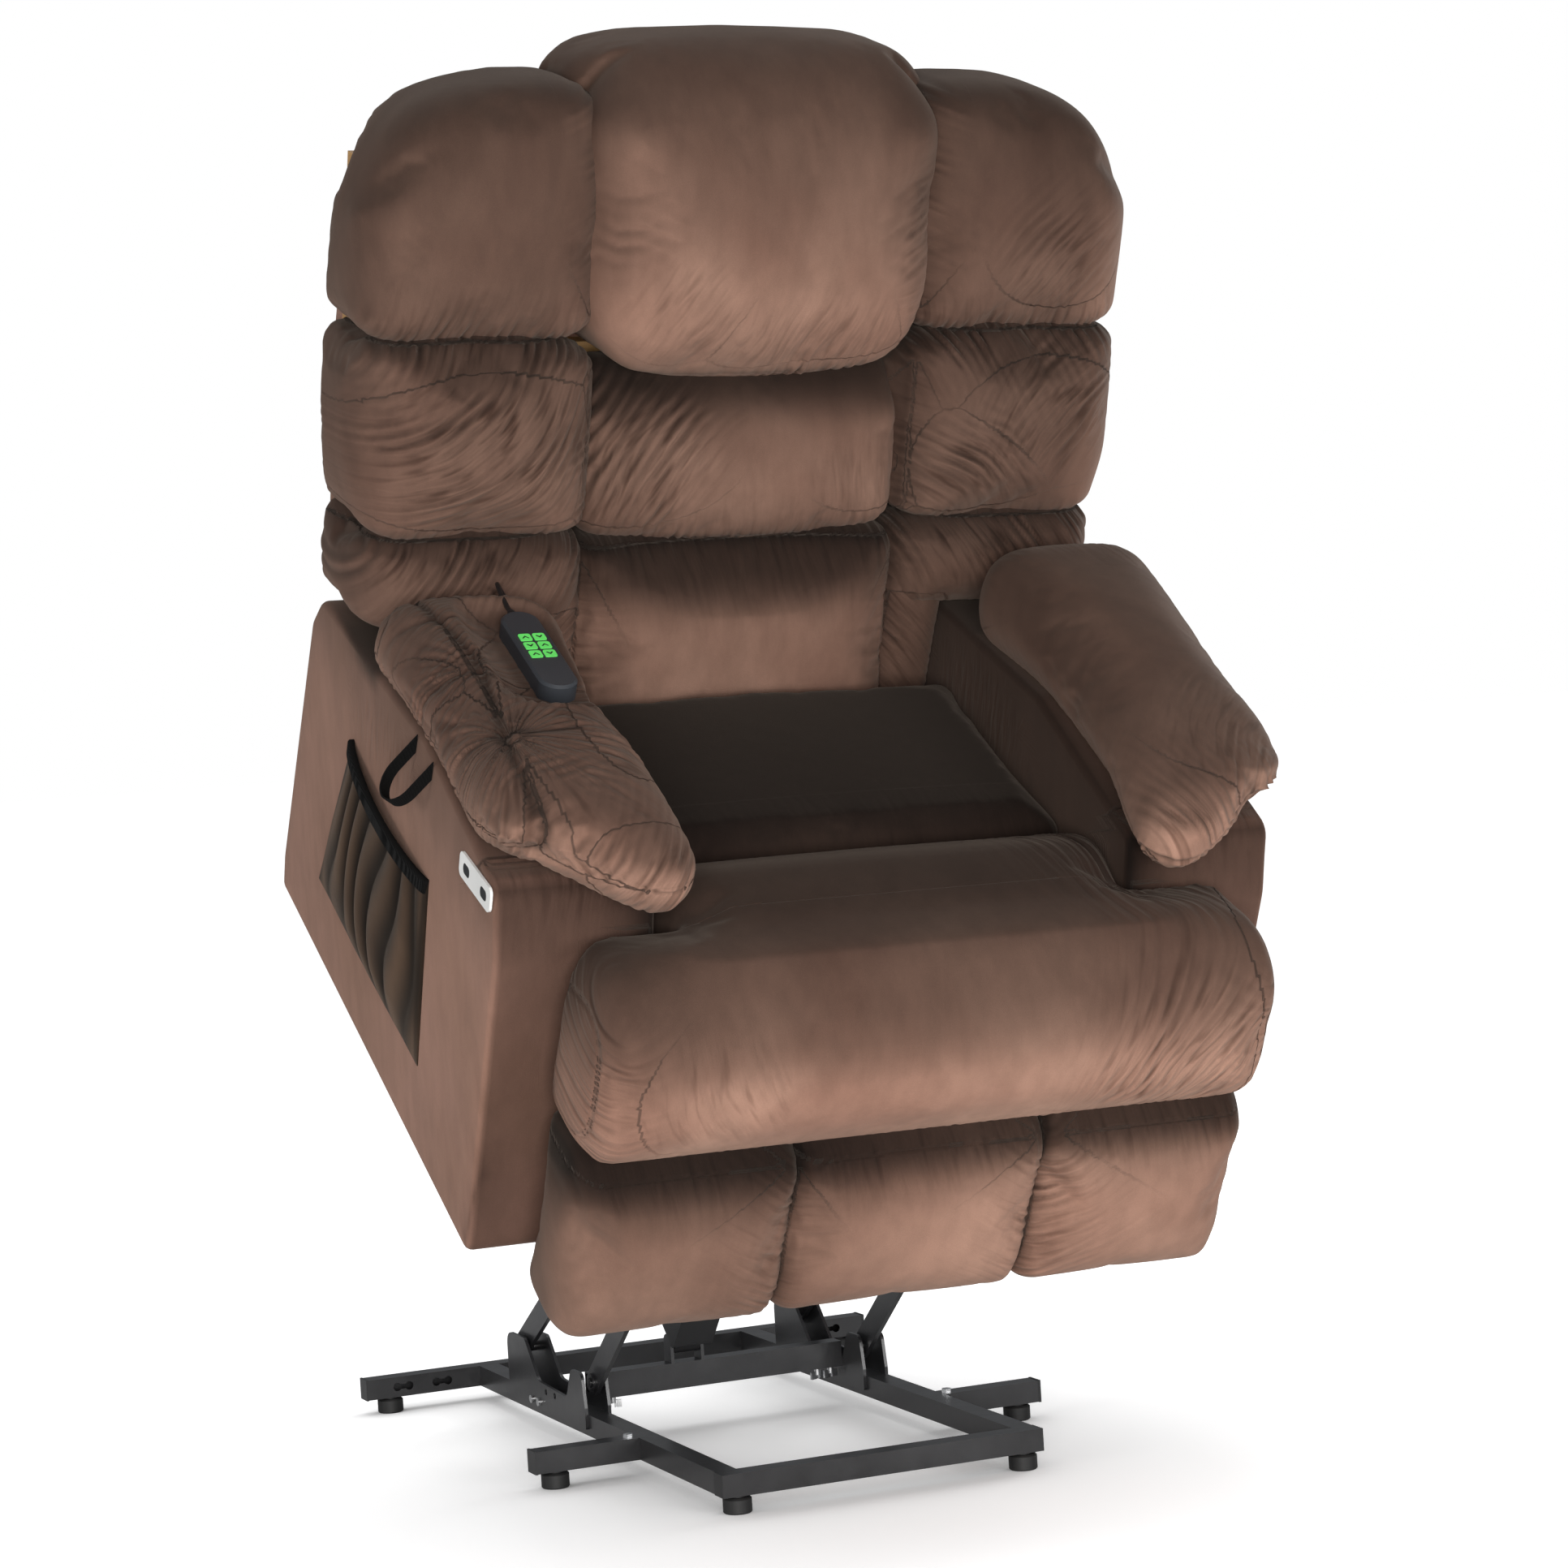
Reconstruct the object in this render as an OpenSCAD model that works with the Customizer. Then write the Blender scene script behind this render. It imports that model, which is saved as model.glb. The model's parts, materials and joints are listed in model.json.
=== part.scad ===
// Lift recliner chair on a steel floor base, stored in its fully raised pose.
// Millimetres. +Z is up, the chair faces -Y, and the sitter's right hand is on the -X side.
// The floor base is drawn in the row frame. Everything that the lift carries is drawn in the
// chair's own upright frame, and chair_pose() tilts and raises it.

/* [Lift] */
// Nose-down tilt of the raised chair, in degrees
lift_tilt = 31; // [20:0.5:35]
// Height that the raised chair's frame origin stands above its lowered place
lift_height = 480; // [380:5:520]
// Shift of the lowered chair along Y from its raised place
lowered_shift = -108; // [-125:1:-95]

/* [Floor base] */
// Height and width of the base's square tube
tube = 26; // [20:1:32]
// Wall of the base's tube
tube_wall = 1.8; // [1.2:0.1:3]
// Height of the tube's underside above the floor
foot_h = 20; // [14:1:28]
// Radius of a round foot
foot_r = 16.5; // [12:0.5:20]
// Half width over the two side rails
rail_half = 198; // [190:1:200]
// Front face of the front bar, along Y
front_bar_y = -427; // [-460:1:-400]
// Front face of the middle outriggers, along Y
mid_bar_y = -167; // [-200:1:-130]
// Half length over the middle outriggers
mid_bar_half = 325; // [290:1:345]
// Front face of the rear bar, along Y
rear_bar_y = 413; // [400:1:440]
// Half length of the rear bar
rear_bar_half = 350; // [320:1:380]
// Front face of the cross bar that carries the lift motor, along Y
cross_bar_y = 68; // [64:1:72]

/* [Lift arms] */
// Height of the rear arms' pivot on the base
rear_pivot_z = 91; // [86:1:96]
// Height of the front arms' pivot on the base
front_pivot_z = 80; // [76:1:84]
// Rear arms' pivot on the chair, along Y
rear_arm_y = -267; // [-270:1:-262]
// Rear arms' pivot on the chair, height
rear_arm_z = 98; // [96:1:100]
// Front arms' pivot on the chair, along Y
front_arm_y = -351; // [-354:1:-346]
// Front arms' pivot on the chair, height
front_arm_z = 100; // [98:1:102]
// Width of a lift arm
arm_w = 32; // [26:1:34]
// Thickness of steel arms and links
arm_t = 6; // [4:0.5:7]

/* [Seat and arms] */
// Half width over the upholstered side panels
side_half = 467; // [450:1:480]
// Half width of the seat between the arms
seat_half = 283; // [278:1:290]
// Height of the side panels' lower edge
side_bottom = 58; // [54:1:70]
// Height of the arm pads' top
pad_top = 598; // [585:1:610]
// Height of the seat cushion's top
seat_top = 442; // [425:1:450]

/* [Backrest] */
// Rake of the upright backrest from vertical, in degrees
back_rake = 12.4; // [8:0.2:16]
// Height of the backrest above the arm line, along its rake
back_len = 630; // [580:5:650]
// Half width over the backrest wings
wing_half = 476; // [460:1:482]
// Half width of the centre column
column_half = 199; // [180:1:204]
// Depth of the back cushions in front of the frame
cushion_d = 99.7; // [90:0.1:104]

/* [Footrest] */
// Half width of the footrest
foot_half = 401; // [380:1:410]
// Front face of the closed footrest, along Y
foot_front = -558; // [-575:1:-540]
// Length of each footrest swing link between its pivots
swing_len = 265; // [255:1:270]

/* [Handset] */
// Length of the handset
handset_l = 170; // [160:1:190]
// Width of the handset
handset_w = 45; // [42:1:54]
// Thickness of the handset
handset_t = 23; // [22:1:28]
// Travel of a button
button_travel = 1.2; // [0.8:0.1:2]

/* [Hidden] */
eps = 0.01;
fit = 0.05;          // radial clearance of a pin or rod in its bore
soft_gap = 0.3;      // clearance of a soft piece from a piece of another body
seam = 0.3;          // gap that parts two soft pieces of one body

// ---- helpers on points of the side view, [y, z] ----
function turned(p, a) = [p[0] * cos(a) - p[1] * sin(a), p[0] * sin(a) + p[1] * cos(a)];
function unit(v) = v / norm(v);
function raised(p) = turned(p, lift_tilt) + [0, lift_height];
function lowered(p) = p + [lowered_shift, 0];
// The point at height z that stays equally far from a chair pivot in the raised and lowered poses
function base_pivot(p, z) =
    let (a = raised(p), b = lowered(p), mid = (a + b) / 2, move = a - b,
         k = (mid[1] - z) / move[0])
    mid + k * [move[1], -move[0]];
// A polygon with each corner turned into an arc of radius r, or of radius r[i] at corner i
function rounded(pts, r, steps = 5) = [
    for (i = [0 : len(pts) - 1])
        let (n = len(pts), b = pts[i],
             u = unit(pts[(i + n - 1) % n] - b), v = unit(pts[(i + 1) % n] - b),
             half = acos(u * v) / 2,
             run = min((is_list(r) ? r[i] : r) / tan(half),
                       0.45 * norm(pts[(i + n - 1) % n] - b), 0.45 * norm(pts[(i + 1) % n] - b)),
             rad = run * tan(half),
             centre = b + unit(u + v) * rad / sin(half),
             s = b + u * run - centre, e = b + v * run - centre,
             a0 = atan2(s[1], s[0]),
             sweep = (atan2(e[1], e[0]) - a0 + 900) % 360 - 180)
        for (k = [0 : steps])
            centre + rad * [cos(a0 + sweep * k / steps), sin(a0 + sweep * k / steps)]
];
function box_points(y0, y1, z0, z1) = [[y0, z0], [y1, z0], [y1, z1], [y0, z1]];
function side_of(p, q) = let (d = unit(q - p)) [-d[1], d[0]];
function arc(c, r, from, steps = 12) = [for (k = [0 : steps])
    c + r * [cos(from - 180 * k / steps), sin(from - 180 * k / steps)]];
function angle_of(v) = atan2(v[1], v[0]);
// Offset of a middle point of a bent bar, mitred between its two stretches
function mitre(a, b, c, r) = let (m = side_of(a, b) + side_of(b, c)) b + m * r * 2 / (m * m);
// Outline of a flat bar of width w through two or three points, with round ends
function bar_outline(pts, w) =
    let (n = len(pts), a = side_of(pts[0], pts[1]), b = side_of(pts[n - 2], pts[n - 1]))
    concat(
        n > 2 ? [mitre(pts[0], pts[1], pts[2], w / 2)] : [],
        arc(pts[n - 1], w / 2, angle_of(b)),
        n > 2 ? [mitre(pts[0], pts[1], pts[2], -w / 2)] : [],
        arc(pts[0], w / 2, angle_of(-a)));

// ---- lift geometry, row frame ----
rail_in = rail_half - tube;
tube_top = foot_h + tube;
// Moves the floor base and the raised chair so that the row's origin is under the middle of both
// Webbing loop on the right side panel
strap_w = 14;
strap_t = 2;
strap_bend = 30;
strap_leg = 34;
strap_turn = 52;
pad_overhang = 19;                           // of an arm pad past the side panel
row_x = ((strap_leg + strap_bend) * cos(strap_turn) + strap_w / 2 * sin(strap_turn) - pad_overhang) / 2;
row_y = -(raised([foot_front + 8, 400])[0] + rear_bar_y + tube) / 2;
rear_arm_base = base_pivot([rear_arm_y, rear_arm_z], rear_pivot_z);
front_arm_base = base_pivot([front_arm_y, front_arm_z], front_pivot_z);
rear_arm_top = raised([rear_arm_y, rear_arm_z]);
front_arm_top = raised([front_arm_y, front_arm_z]);
pin_r = 6;
bracket_t = 4;
front_arm_x = rail_in + 4;                   // inner layer of the lift arms
rear_arm_x = rail_half - 4 - arm_t;          // outer layer of the lift arms
torque_along = 529;                          // torque tube's place along the rear arm
torque_off = 26;                             // and above the arm's centre line
torque_r = 13;
torque_rise = 40;                            // tube's axis above the lugs' pin
arm_dir = unit(rear_arm_top - rear_arm_base);
arm_up = [arm_dir[1], -arm_dir[0]];
torque_axis = rear_arm_base + torque_along * arm_dir + torque_off * arm_up;
torque_tube = torque_axis + torque_rise * arm_up;
open_play = 5;                               // play of the lift linkage's open pivot
lift_motor_pivot = [cross_bar_y + 12, 106];
lift_motor_x = -40;

// ---- chair structure, chair frame ----
plate_x = 204;
plate_t = 5;
back_hinge = [275, 415];
bracket_x = 196;                             // backrest brackets, inside the side plates
swing_pivot = [-240, 330];                   // footrest drive shaft
swing_dir = unit([138, -226]);
swing_end = swing_pivot + swing_len * swing_dir;
follow_step = [52, -14];                     // rear swing link from the drive link
follow_pivot = swing_pivot + follow_step;
follow_end = swing_end + follow_step;
carrier_reach = [-286, 94];                  // from the drive link's end to the footrest
guide_step = [-14, 68];                      // guide bar from the carrier bar
guide_start = swing_end + guide_step;
foot_pivot = swing_end + carrier_reach;
foot_pivot_2 = foot_pivot + guide_step;
link_w = 22;
link_t = 4;
link_pin_r = 4;
follow_x = plate_x + plate_t + 3;            // layers of the footrest linkage, inside out
carrier_x = follow_x + link_t + 3;
drive_x = carrier_x + link_t + 3;
drive_shaft_r = 11;

leg_motor_pivot = [140, 300];
leg_crank = [-208, 304];
back_motor_pivot = [-118, 290];
back_crank = [303, 329];
motor_x = 70;
crank_pin_r = 5;

rail_top = 392;
rail_bottom = 350;
back_datum = [174, 520];                     // front of the wings at the arm line
board_y = -418;                              // back face of the footrest board
foot_bottom = 20;
roll_bottom = 236;

pad_rear = 100;
handset_y = -61;                             // centre of the handset on the right arm pad
handset_x = -333;
button_l = 15;
button_w = 14;
button_t = 3.2;
button_pitch = 18.5;
button_col = 8.3;
button_first = 12;                           // first row, from the handset's centre

// The handset's cord, from the handset to the control box, chair frame
cord_r = 2.75;
cord_route = [
    [-333, 38, 604], [-333, 50, 604], [-332, 76, 606], [-327, 102, 603], [-316, 115, 586],
    [-298, 119, 558], [-276, 120, 520], [-264, 120, 470], [-260, 120, 420], [-260, 122, 370],
    [-260, 124, 320], [-259, 128, 270], [-254, 136, 232], [-244, 148, 212], [-228, 162, 206],
    [-212, 172, 214], [-200, 176, 226], [-188, 176, 230], [-180, 176, 230]
];
cord_z = 14;                                 // cord's height in the handset

// ---- shared modules ----
module floor_pose() { translate([row_x, row_y, 0]) children(); }
module chair_pose() { translate([row_x, row_y, lift_height]) rotate([lift_tilt, 0, 0]) children(); }
module both_sides() {
    children();
    mirror([1, 0, 0]) children();
}
// A prism along X from x0 to x1, of an outline in the Y-Z plane
module side_prism(x0, x1, pts) {
    translate([x0, 0, 0]) rotate([90, 0, 90]) linear_extrude(x1 - x0) polygon(pts);
}
module x_rod(x0, x1, p, r) {
    translate([x0, p[0], p[1]]) rotate([0, 90, 0]) cylinder(h = x1 - x0, r = r, $fn = 48);
}
module flat_bar(x, t, pts, w) { side_prism(x, x + t, bar_outline(pts, w)); }
// Children drawn along +Y from p towards q, at x
module aimed(x, p, q) {
    translate([x, p[0], p[1]]) rotate([atan2(q[1] - p[1], q[0] - p[0]), 0, 0]) children();
}
module square_tube(size, wall) {
    difference() {
        cube(size);
        long = max(size[0], size[1], size[2]);
        inner = [for (s = size) s == long ? s + 2 : s - 2 * wall];
        translate([for (i = [0 : 2]) size[i] == long ? -1 : wall]) cube(inner);
    }
}

// ---- floor base ----
module front_bar() {
    color("#2b2b2d") floor_pose() translate([-rail_half, front_bar_y, foot_h])
        square_tube([2 * rail_half, tube, tube], tube_wall);
}
module side_rails() {
    y0 = front_bar_y + tube;
    color("#2b2b2d") floor_pose() both_sides() translate([rail_in, y0, foot_h])
        square_tube([tube, rear_bar_y - y0, tube], tube_wall);
}
module outriggers() {
    color("#2b2b2d") floor_pose() both_sides() translate([rail_half, mid_bar_y, foot_h])
        square_tube([mid_bar_half - rail_half, tube, tube], tube_wall);
}
// One punched keyhole slot: two rounds with a waist
module keyhole(x) {
    translate([x, rear_bar_y - 1, foot_h + tube / 2]) rotate([-90, 0, 0]) linear_extrude(tube_wall + 2) {
        for (side = [-1, 1]) translate([side * 8, 0]) circle(r = 5.5, $fn = 32);
        square([16, 6], center = true);
    }
}
module rear_bar() {
    color("#2b2b2d") floor_pose() difference() {
        translate([-rear_bar_half, rear_bar_y, foot_h])
            square_tube([2 * rear_bar_half, tube, tube], tube_wall);
        for (x = [250, 303], side = [-1, 1]) keyhole(side * x);
    }
}
module motor_cross_bar() {
    half = rail_in - bracket_t;
    color("#1d1d1f") floor_pose() {
        translate([-half, cross_bar_y, 50]) square_tube([2 * half, 24, 32], tube_wall);
        for (side = [-1, 1]) difference() {
            side_prism(lift_motor_x + side * 20 - 2, lift_motor_x + side * 20 + 2,
                rounded([[cross_bar_y, 82], [cross_bar_y + 24, 82],
                         [cross_bar_y + 23, lift_motor_pivot[1] + 11],
                         [cross_bar_y + 1, lift_motor_pivot[1] + 11]], [0, 0, 9, 9]));
            x_rod(lift_motor_x + side * 20 - 3, lift_motor_x + side * 20 + 3,
                lift_motor_pivot, pin_r);
        }
        x_rod(lift_motor_x - 22, lift_motor_x + 22, lift_motor_pivot, pin_r);
    }
}
// Outline of a bracket plate that stands on a rail and carries both arms' base pivots
function bracket_outline() = rounded([
    [front_arm_base[0] - 24, foot_h + 8], [rear_arm_base[0] + 22, foot_h + 8],
    [rear_arm_base[0] + 22, rear_pivot_z + 20], [rear_arm_base[0] - 44, rear_pivot_z + 20],
    [rear_arm_base[0] - 90, tube_top + 17], [front_arm_base[0] + 40, tube_top + 12],
    [front_arm_base[0] + 20, front_pivot_z + 16], [front_arm_base[0] - 16, front_pivot_z + 16],
    [front_arm_base[0] - 24, tube_top + 8]
], [3, 3, 16, 10, 18, 14, 10, 10, 8]);
module pivot_brackets() {
    color("#151517") floor_pose() both_sides() {
        for (x = [rail_half, rail_in - bracket_t]) difference() {
            side_prism(x, x + bracket_t, bracket_outline());
            for (y = [112, 144]) x_rod(x - 1, x + bracket_t + 1, [y, tube_top + 7], 4);
        }
        // the front pivot's pin stops short of the rear arms, which pass over it
        x_rod(rail_in - eps, rear_arm_x - 1.5, front_arm_base, pin_r);
        x_rod(rail_in - eps, rail_half + eps, rear_arm_base, pin_r);
    }
}
module feet() {
    mid_x = mid_bar_half - 25;
    rear_x = rear_bar_half - 32;
    spots = [[rail_half - 20, front_bar_y], [mid_x, mid_bar_y], [rear_x, rear_bar_y]];
    color("#0c0c0d") floor_pose() both_sides() for (s = spots) translate([s[0], s[1] + tube / 2, 0])
        rotate_extrude($fn = 40) polygon([
            [0, 0], [foot_r - 1.5, 0], [foot_r, 1.5], [foot_r, foot_h - 4],
            [foot_r - 2, foot_h - 2], [10, foot_h - 2], [10, foot_h], [0, foot_h]]);
}
module tube_caps() {
    cap = 3;
    color("#0c0c0d") floor_pose() both_sides() {
        translate([mid_bar_half, mid_bar_y - 0.5, foot_h - 0.5]) cube([cap, tube + 1, tube + 1]);
        translate([rear_bar_half, rear_bar_y - 0.5, foot_h - 0.5]) cube([cap, tube + 1, tube + 1]);
        translate([rail_half, front_bar_y, foot_h]) cube([1.5, tube, tube]);
    }
}
module base_bolts() {
    color("#8d8f92") floor_pose() both_sides() {
        // wing screws that clamp the cross bar from below
        for (x = [rail_in - 34, rail_in - 16]) translate([x, cross_bar_y + 12, 50]) {
            translate([0, 0, -9]) cylinder(h = 9, r = 4, $fn = 24);
            for (a = [0, 180]) rotate([0, 0, a + 20])
                translate([2, -1.5, -14]) cube([9, 3, 9]);
        }
        // screws that join the outriggers to the rails
        translate([rail_half + 9, mid_bar_y + tube / 2, tube_top])
            cylinder(h = 4, r = 6, $fn = 6);
        // screws through the bracket plates
        for (y = [170, 196]) x_rod(rail_half + bracket_t, rail_half + bracket_t + 3,
            [y, tube_top - 9], 5);
    }
}

// ---- lift arms and the motors ----
// The arm widens to carry the torque tube above its centre line
function rear_arm_outline() =
    let (h = arm_w / 2, foot = rear_arm_base + (torque_along - 90) * arm_dir + h * arm_up,
         head = rear_arm_base + (torque_along + 60) * arm_dir + h * arm_up)
    rounded([
        rear_arm_base - h * arm_dir - h * arm_up, rear_arm_top + h * arm_dir - h * arm_up,
        rear_arm_top + h * arm_dir + h * arm_up, head,
        torque_tube + 20 * arm_dir + 18 * arm_up, torque_tube - 20 * arm_dir + 18 * arm_up,
        foot, rear_arm_base - h * arm_dir + h * arm_up
    ], [0.9 * h, 0.9 * h, 0.9 * h, 30, 16, 16, 30, 0.9 * h]);
module rear_lift_arms() {
    lug_gap = 20;
    color("#1a1a1c") floor_pose() {
        both_sides() difference() {
            union() {
                side_prism(rear_arm_x, rear_arm_x + arm_t, rear_arm_outline());
                x_rod(rear_arm_x - 3, rear_arm_x + arm_t + 3, rear_arm_base, 11);
                x_rod(rear_arm_x - 3, rear_arm_x + arm_t + 3, rear_arm_top, 11);
            }
            for (p = [rear_arm_base, rear_arm_top])
                x_rod(rear_arm_x - 4, rear_arm_x + arm_t + 4, p, pin_r + fit);
        }
        // torque tube with the two lugs that the lift motor's rod works on
        difference() {
            x_rod(-rear_arm_x - 2, rear_arm_x + 2, torque_tube, torque_r);
            x_rod(-rear_arm_x, rear_arm_x, torque_tube, torque_r - 2.5);
        }
        for (side = [-1, 1]) side_prism(lift_motor_x + side * lug_gap - 2,
            lift_motor_x + side * lug_gap + 2, rounded([
                torque_tube - (torque_r - 1.5) * arm_up - 12 * arm_dir,
                torque_tube - (torque_r - 1.5) * arm_up + 12 * arm_dir,
                torque_axis - 12 * arm_up + 11 * arm_dir,
                torque_axis - 12 * arm_up - 11 * arm_dir], [0, 0, 10, 10]));
        x_rod(lift_motor_x - lug_gap, lift_motor_x + lug_gap, torque_axis, crank_pin_r);
    }
}
module front_lift_arms() {
    color("#1a1a1c") floor_pose() both_sides() difference() {
        union() {
            flat_bar(front_arm_x, arm_t, [front_arm_base, front_arm_top], arm_w);
            x_rod(front_arm_x - 3, front_arm_x + arm_t + 3, front_arm_base, 11);
            x_rod(front_arm_x, front_arm_x + arm_t, front_arm_top, 19);
        }
        x_rod(front_arm_x - 4, front_arm_x + arm_t + 4, front_arm_base, pin_r + fit);
        x_rod(front_arm_x - 4, front_arm_x + arm_t + 4, front_arm_top, pin_r + open_play);
    }
}
rod_r = 10;
// Motor and guide tube of a linear actuator, drawn along +Y from its rear pivot
module actuator_body(body_l) {
    tube_w = 36;
    head_l = 74;
    difference() {
        union() {
            x_rod(-17, 17, [0, 0], 14);
            translate([-17, 0, -14]) cube([34, 22, 28]);
            side_prism(-26, 26, rounded([[16, -22], [head_l, -30], [head_l + 8, -22],
                [head_l + 8, 24], [16, 24]], [6, 10, 6, 6, 6]));
            translate([0, head_l - 30, -26]) cylinder(h = 1, r = 20);
            translate([-tube_w / 2, head_l, -tube_w / 2]) cube([tube_w, body_l - head_l, tube_w]);
            translate([0, 46, 0]) rotate([0, 0, 0]) translate([0, 0, -74])
                cylinder(h = 54, r = 22, $fn = 48);
            for (z = [-70, -34]) translate([0, 46, z]) cylinder(h = 5, r = 24, $fn = 48);
        }
        x_rod(-20, 20, [0, 0], pin_r + fit);
        translate([0, head_l + 30, 0]) rotate([-90, 0, 0])
            cylinder(h = body_l, r = rod_r + fit, $fn = 64);
    }
}
// Sliding rod with its eye: along +Y, the eye's centre at reach
module actuator_rod(start, reach, play) {
    eye_r = crank_pin_r + play;
    rotate([-90, 0, 0]) translate([0, 0, start])
        cylinder(h = reach - start - eye_r - 2, r = rod_r, $fn = 64);
    difference() {
        x_rod(-11, 11, [reach, 0], eye_r + 5);
        x_rod(-12, 12, [reach, 0], eye_r);
    }
}
lift_rod_play = 8;
leg_rod_play = 9;
back_rod_play = 5;
lift_reach = norm(torque_axis - lift_motor_pivot);
leg_reach = norm(leg_crank - leg_motor_pivot);
back_reach = norm(back_crank - back_motor_pivot);
lift_body_l = lift_reach - 92;
leg_body_l = leg_reach - 34;
back_body_l = back_reach - 90;
module lift_motor() {
    color("#26282b") floor_pose() aimed(lift_motor_x, lift_motor_pivot, torque_axis) actuator_body(lift_body_l);
}
module lift_motor_rod() {
    color("#b9bcc0") floor_pose() aimed(lift_motor_x, lift_motor_pivot, torque_axis)
        actuator_rod(lift_body_l - 130, lift_reach, lift_rod_play);
}
module leg_motor() {
    color("#26282b") chair_pose() aimed(-motor_x, leg_motor_pivot, leg_crank)
        mirror([0, 0, 1]) actuator_body(leg_body_l);
}
module leg_motor_rod() {
    color("#b9bcc0") chair_pose() aimed(-motor_x, leg_motor_pivot, leg_crank)
        actuator_rod(leg_body_l - 120, leg_reach, leg_rod_play);
}
module back_motor() {
    color("#26282b") chair_pose() aimed(motor_x, back_motor_pivot, back_crank)
        actuator_body(back_body_l);
}
module back_motor_rod() {
    color("#b9bcc0") chair_pose() aimed(motor_x, back_motor_pivot, back_crank)
        actuator_rod(back_body_l - 150, back_reach, back_rod_play);
}

// ---- chair structure ----
function plate_outline() = rounded([
    [-374, 116], [-374, 82], [-244, 76], [-196, 150], [-150, 232], [60, 240], [200, 244],
    [262, 366], [300, 398], [300, 436], [252, 436], [210, 346], [-322, 346], [-350, 300],
    [-350, 180]
], [14, 14, 20, 20, 20, 8, 14, 20, 20, 20, 16, 12, 16, 16, 12]);
module mechanism_plates() {
    x1 = plate_x + plate_t;
    color("#202124") chair_pose() both_sides() {
        difference() {
            side_prism(plate_x, x1, plate_outline());
            x_rod(plate_x - 1, x1 + 1, swing_pivot, drive_shaft_r + fit);
            x_rod(plate_x - 1, x1 + 1, back_hinge, 8);
            for (p = [[-300, 140], [-292, 206], [-296, 262], [-60, 292], [-10, 292], [40, 292]])
                x_rod(plate_x - 1, x1 + 1, p, 16);
        }
        // inward flange under the seat frame
        translate([plate_x - 22, -318, 346]) cube([22 + plate_t, 520, rail_bottom - 346]);
        // pins for the lift arms, the follower links and the backrest
        for (p = [[rear_arm_y, rear_arm_z], [front_arm_y, front_arm_z]])
            x_rod(p[0] == front_arm_y ? front_arm_x - 1 : rear_arm_x - 4, plate_x + eps, p, pin_r);
        x_rod(x1 - eps, follow_x + link_t + 2, follow_pivot, link_pin_r);
        x_rod(bracket_x - 6, x1, back_hinge, 8);
    }
}
module cross_tubes() {
    color("#202124") chair_pose() {
        for (spot = [[165, 258], [-170, 240]]) translate([-plate_x, spot[0], spot[1]])
            square_tube([2 * plate_x, 25, 25], 2);
        // clevis plates for the leg motor and the back motor
        for (side = [-1, 1]) {
            side_prism(-motor_x + side * 20 - 2, -motor_x + side * 20 + 2, rounded([
                [165, 262], [165, 283], [150, 314], [130, 314], [126, 290], [150, 262]],
                [0, 0, 10, 10, 8, 8]));
            side_prism(motor_x + side * 20 - 2, motor_x + side * 20 + 2, rounded([
                [-145, 244], [-110, 270], [-104, 292], [-116, 304], [-130, 300], [-145, 265]],
                [0, 10, 10, 10, 8, 0]));
        }
        x_rod(-motor_x - 22, -motor_x + 22, leg_motor_pivot, pin_r);
        x_rod(motor_x - 22, motor_x + 22, back_motor_pivot, pin_r);
    }
}
module seat_frame() {
    wood = 22;
    z = rail_bottom;
    h = rail_top - rail_bottom;
    color("#b08d5f") chair_pose() {
        for (y = [-350 - wood, 48]) translate([-seat_half, y, z]) cube([2 * seat_half, wood, h]);
        both_sides() {
            translate([plate_x - 20, -350, z]) cube([wood, 398, h]);
            for (end = [[-350, 1], [48, -1]]) translate([plate_x - 20, end[0], z])
                linear_extrude(h) polygon([[0, 0], [-40, 0], [0, end[1] * 40]]);
        }
    }
}
// One flat serpentine spring, as a centre line of half turns
module seat_springs() {
    wire = 4;
    turns = 11;
    y0 = -348;
    pitch = (46 - y0) / turns;
    swing = 22;
    steps = 6;
    line = [for (i = [0 : turns * steps])
        let (s = i / steps) [swing * sin(180 * s) * (1 + 0.25 * sin(540 * s)), y0 + pitch * s]];
    side = [for (i = [0 : len(line) - 1])
        let (d = unit(line[min(i + 1, len(line) - 1)] - line[max(i - 1, 0)])) [-d[1], d[0]] * wire / 2];
    n = len(line);
    color("#9aa0a6") chair_pose() for (x = [-114, -38, 38, 114])
        translate([x, 0, rail_top - wire]) linear_extrude(wire) polygon(concat(
            [for (i = [0 : n - 1]) line[i] + side[i]],
            [for (i = [n - 1 : -1 : 0]) line[i] - side[i]]));
}
function arm_outline() = rounded([
    [-414, side_bottom], [334, side_bottom], [342, 100], [327, 440], [300, 484],
    [150, 500], [-90, 526], [-352, 496], [-378, 420], [-402, 180]
], [14, 12, 30, 30, 34, 60, 60, 24, 60, 60]);
module arm_box(side) {
    color("#8f7060") chair_pose() scale([side, 1, 1])
        side_prism(seat_half, side_half, arm_outline());
}
module right_arm_box() { arm_box(-1); }
module left_arm_box() { arm_box(1); }
// Pillow-topped arm pad: a side outline trimmed by a rounded front view
module arm_pad(side) {
    x0 = seat_half - 11;
    x1 = side_half + pad_overhang;
    color("#8a6a58") chair_pose() scale([side, 1, 1]) intersection() {
        side_prism(x0, x1, rounded([
            [pad_rear, 505.5 + seam], [-90, 526 + seam], [-352, 496 + seam], [-388, 474],
            [-430, 490], [-452, 545], [-420, pad_top - 4], [-340, pad_top], [60, pad_top],
            [pad_rear, pad_top - 14]], [6, 60, 20, 20, 20, 30, 30, 60, 20, 10]));
        translate([0, 300, 0]) rotate([90, 0, 0]) linear_extrude(900) polygon(rounded([
            [x0, 470], [x1, 470], [x1, pad_top - 6], [(x0 + x1) / 2, pad_top + 4], [x0, pad_top - 2]],
            [8, 26, 44, 200, 44]));
    }
}
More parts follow.
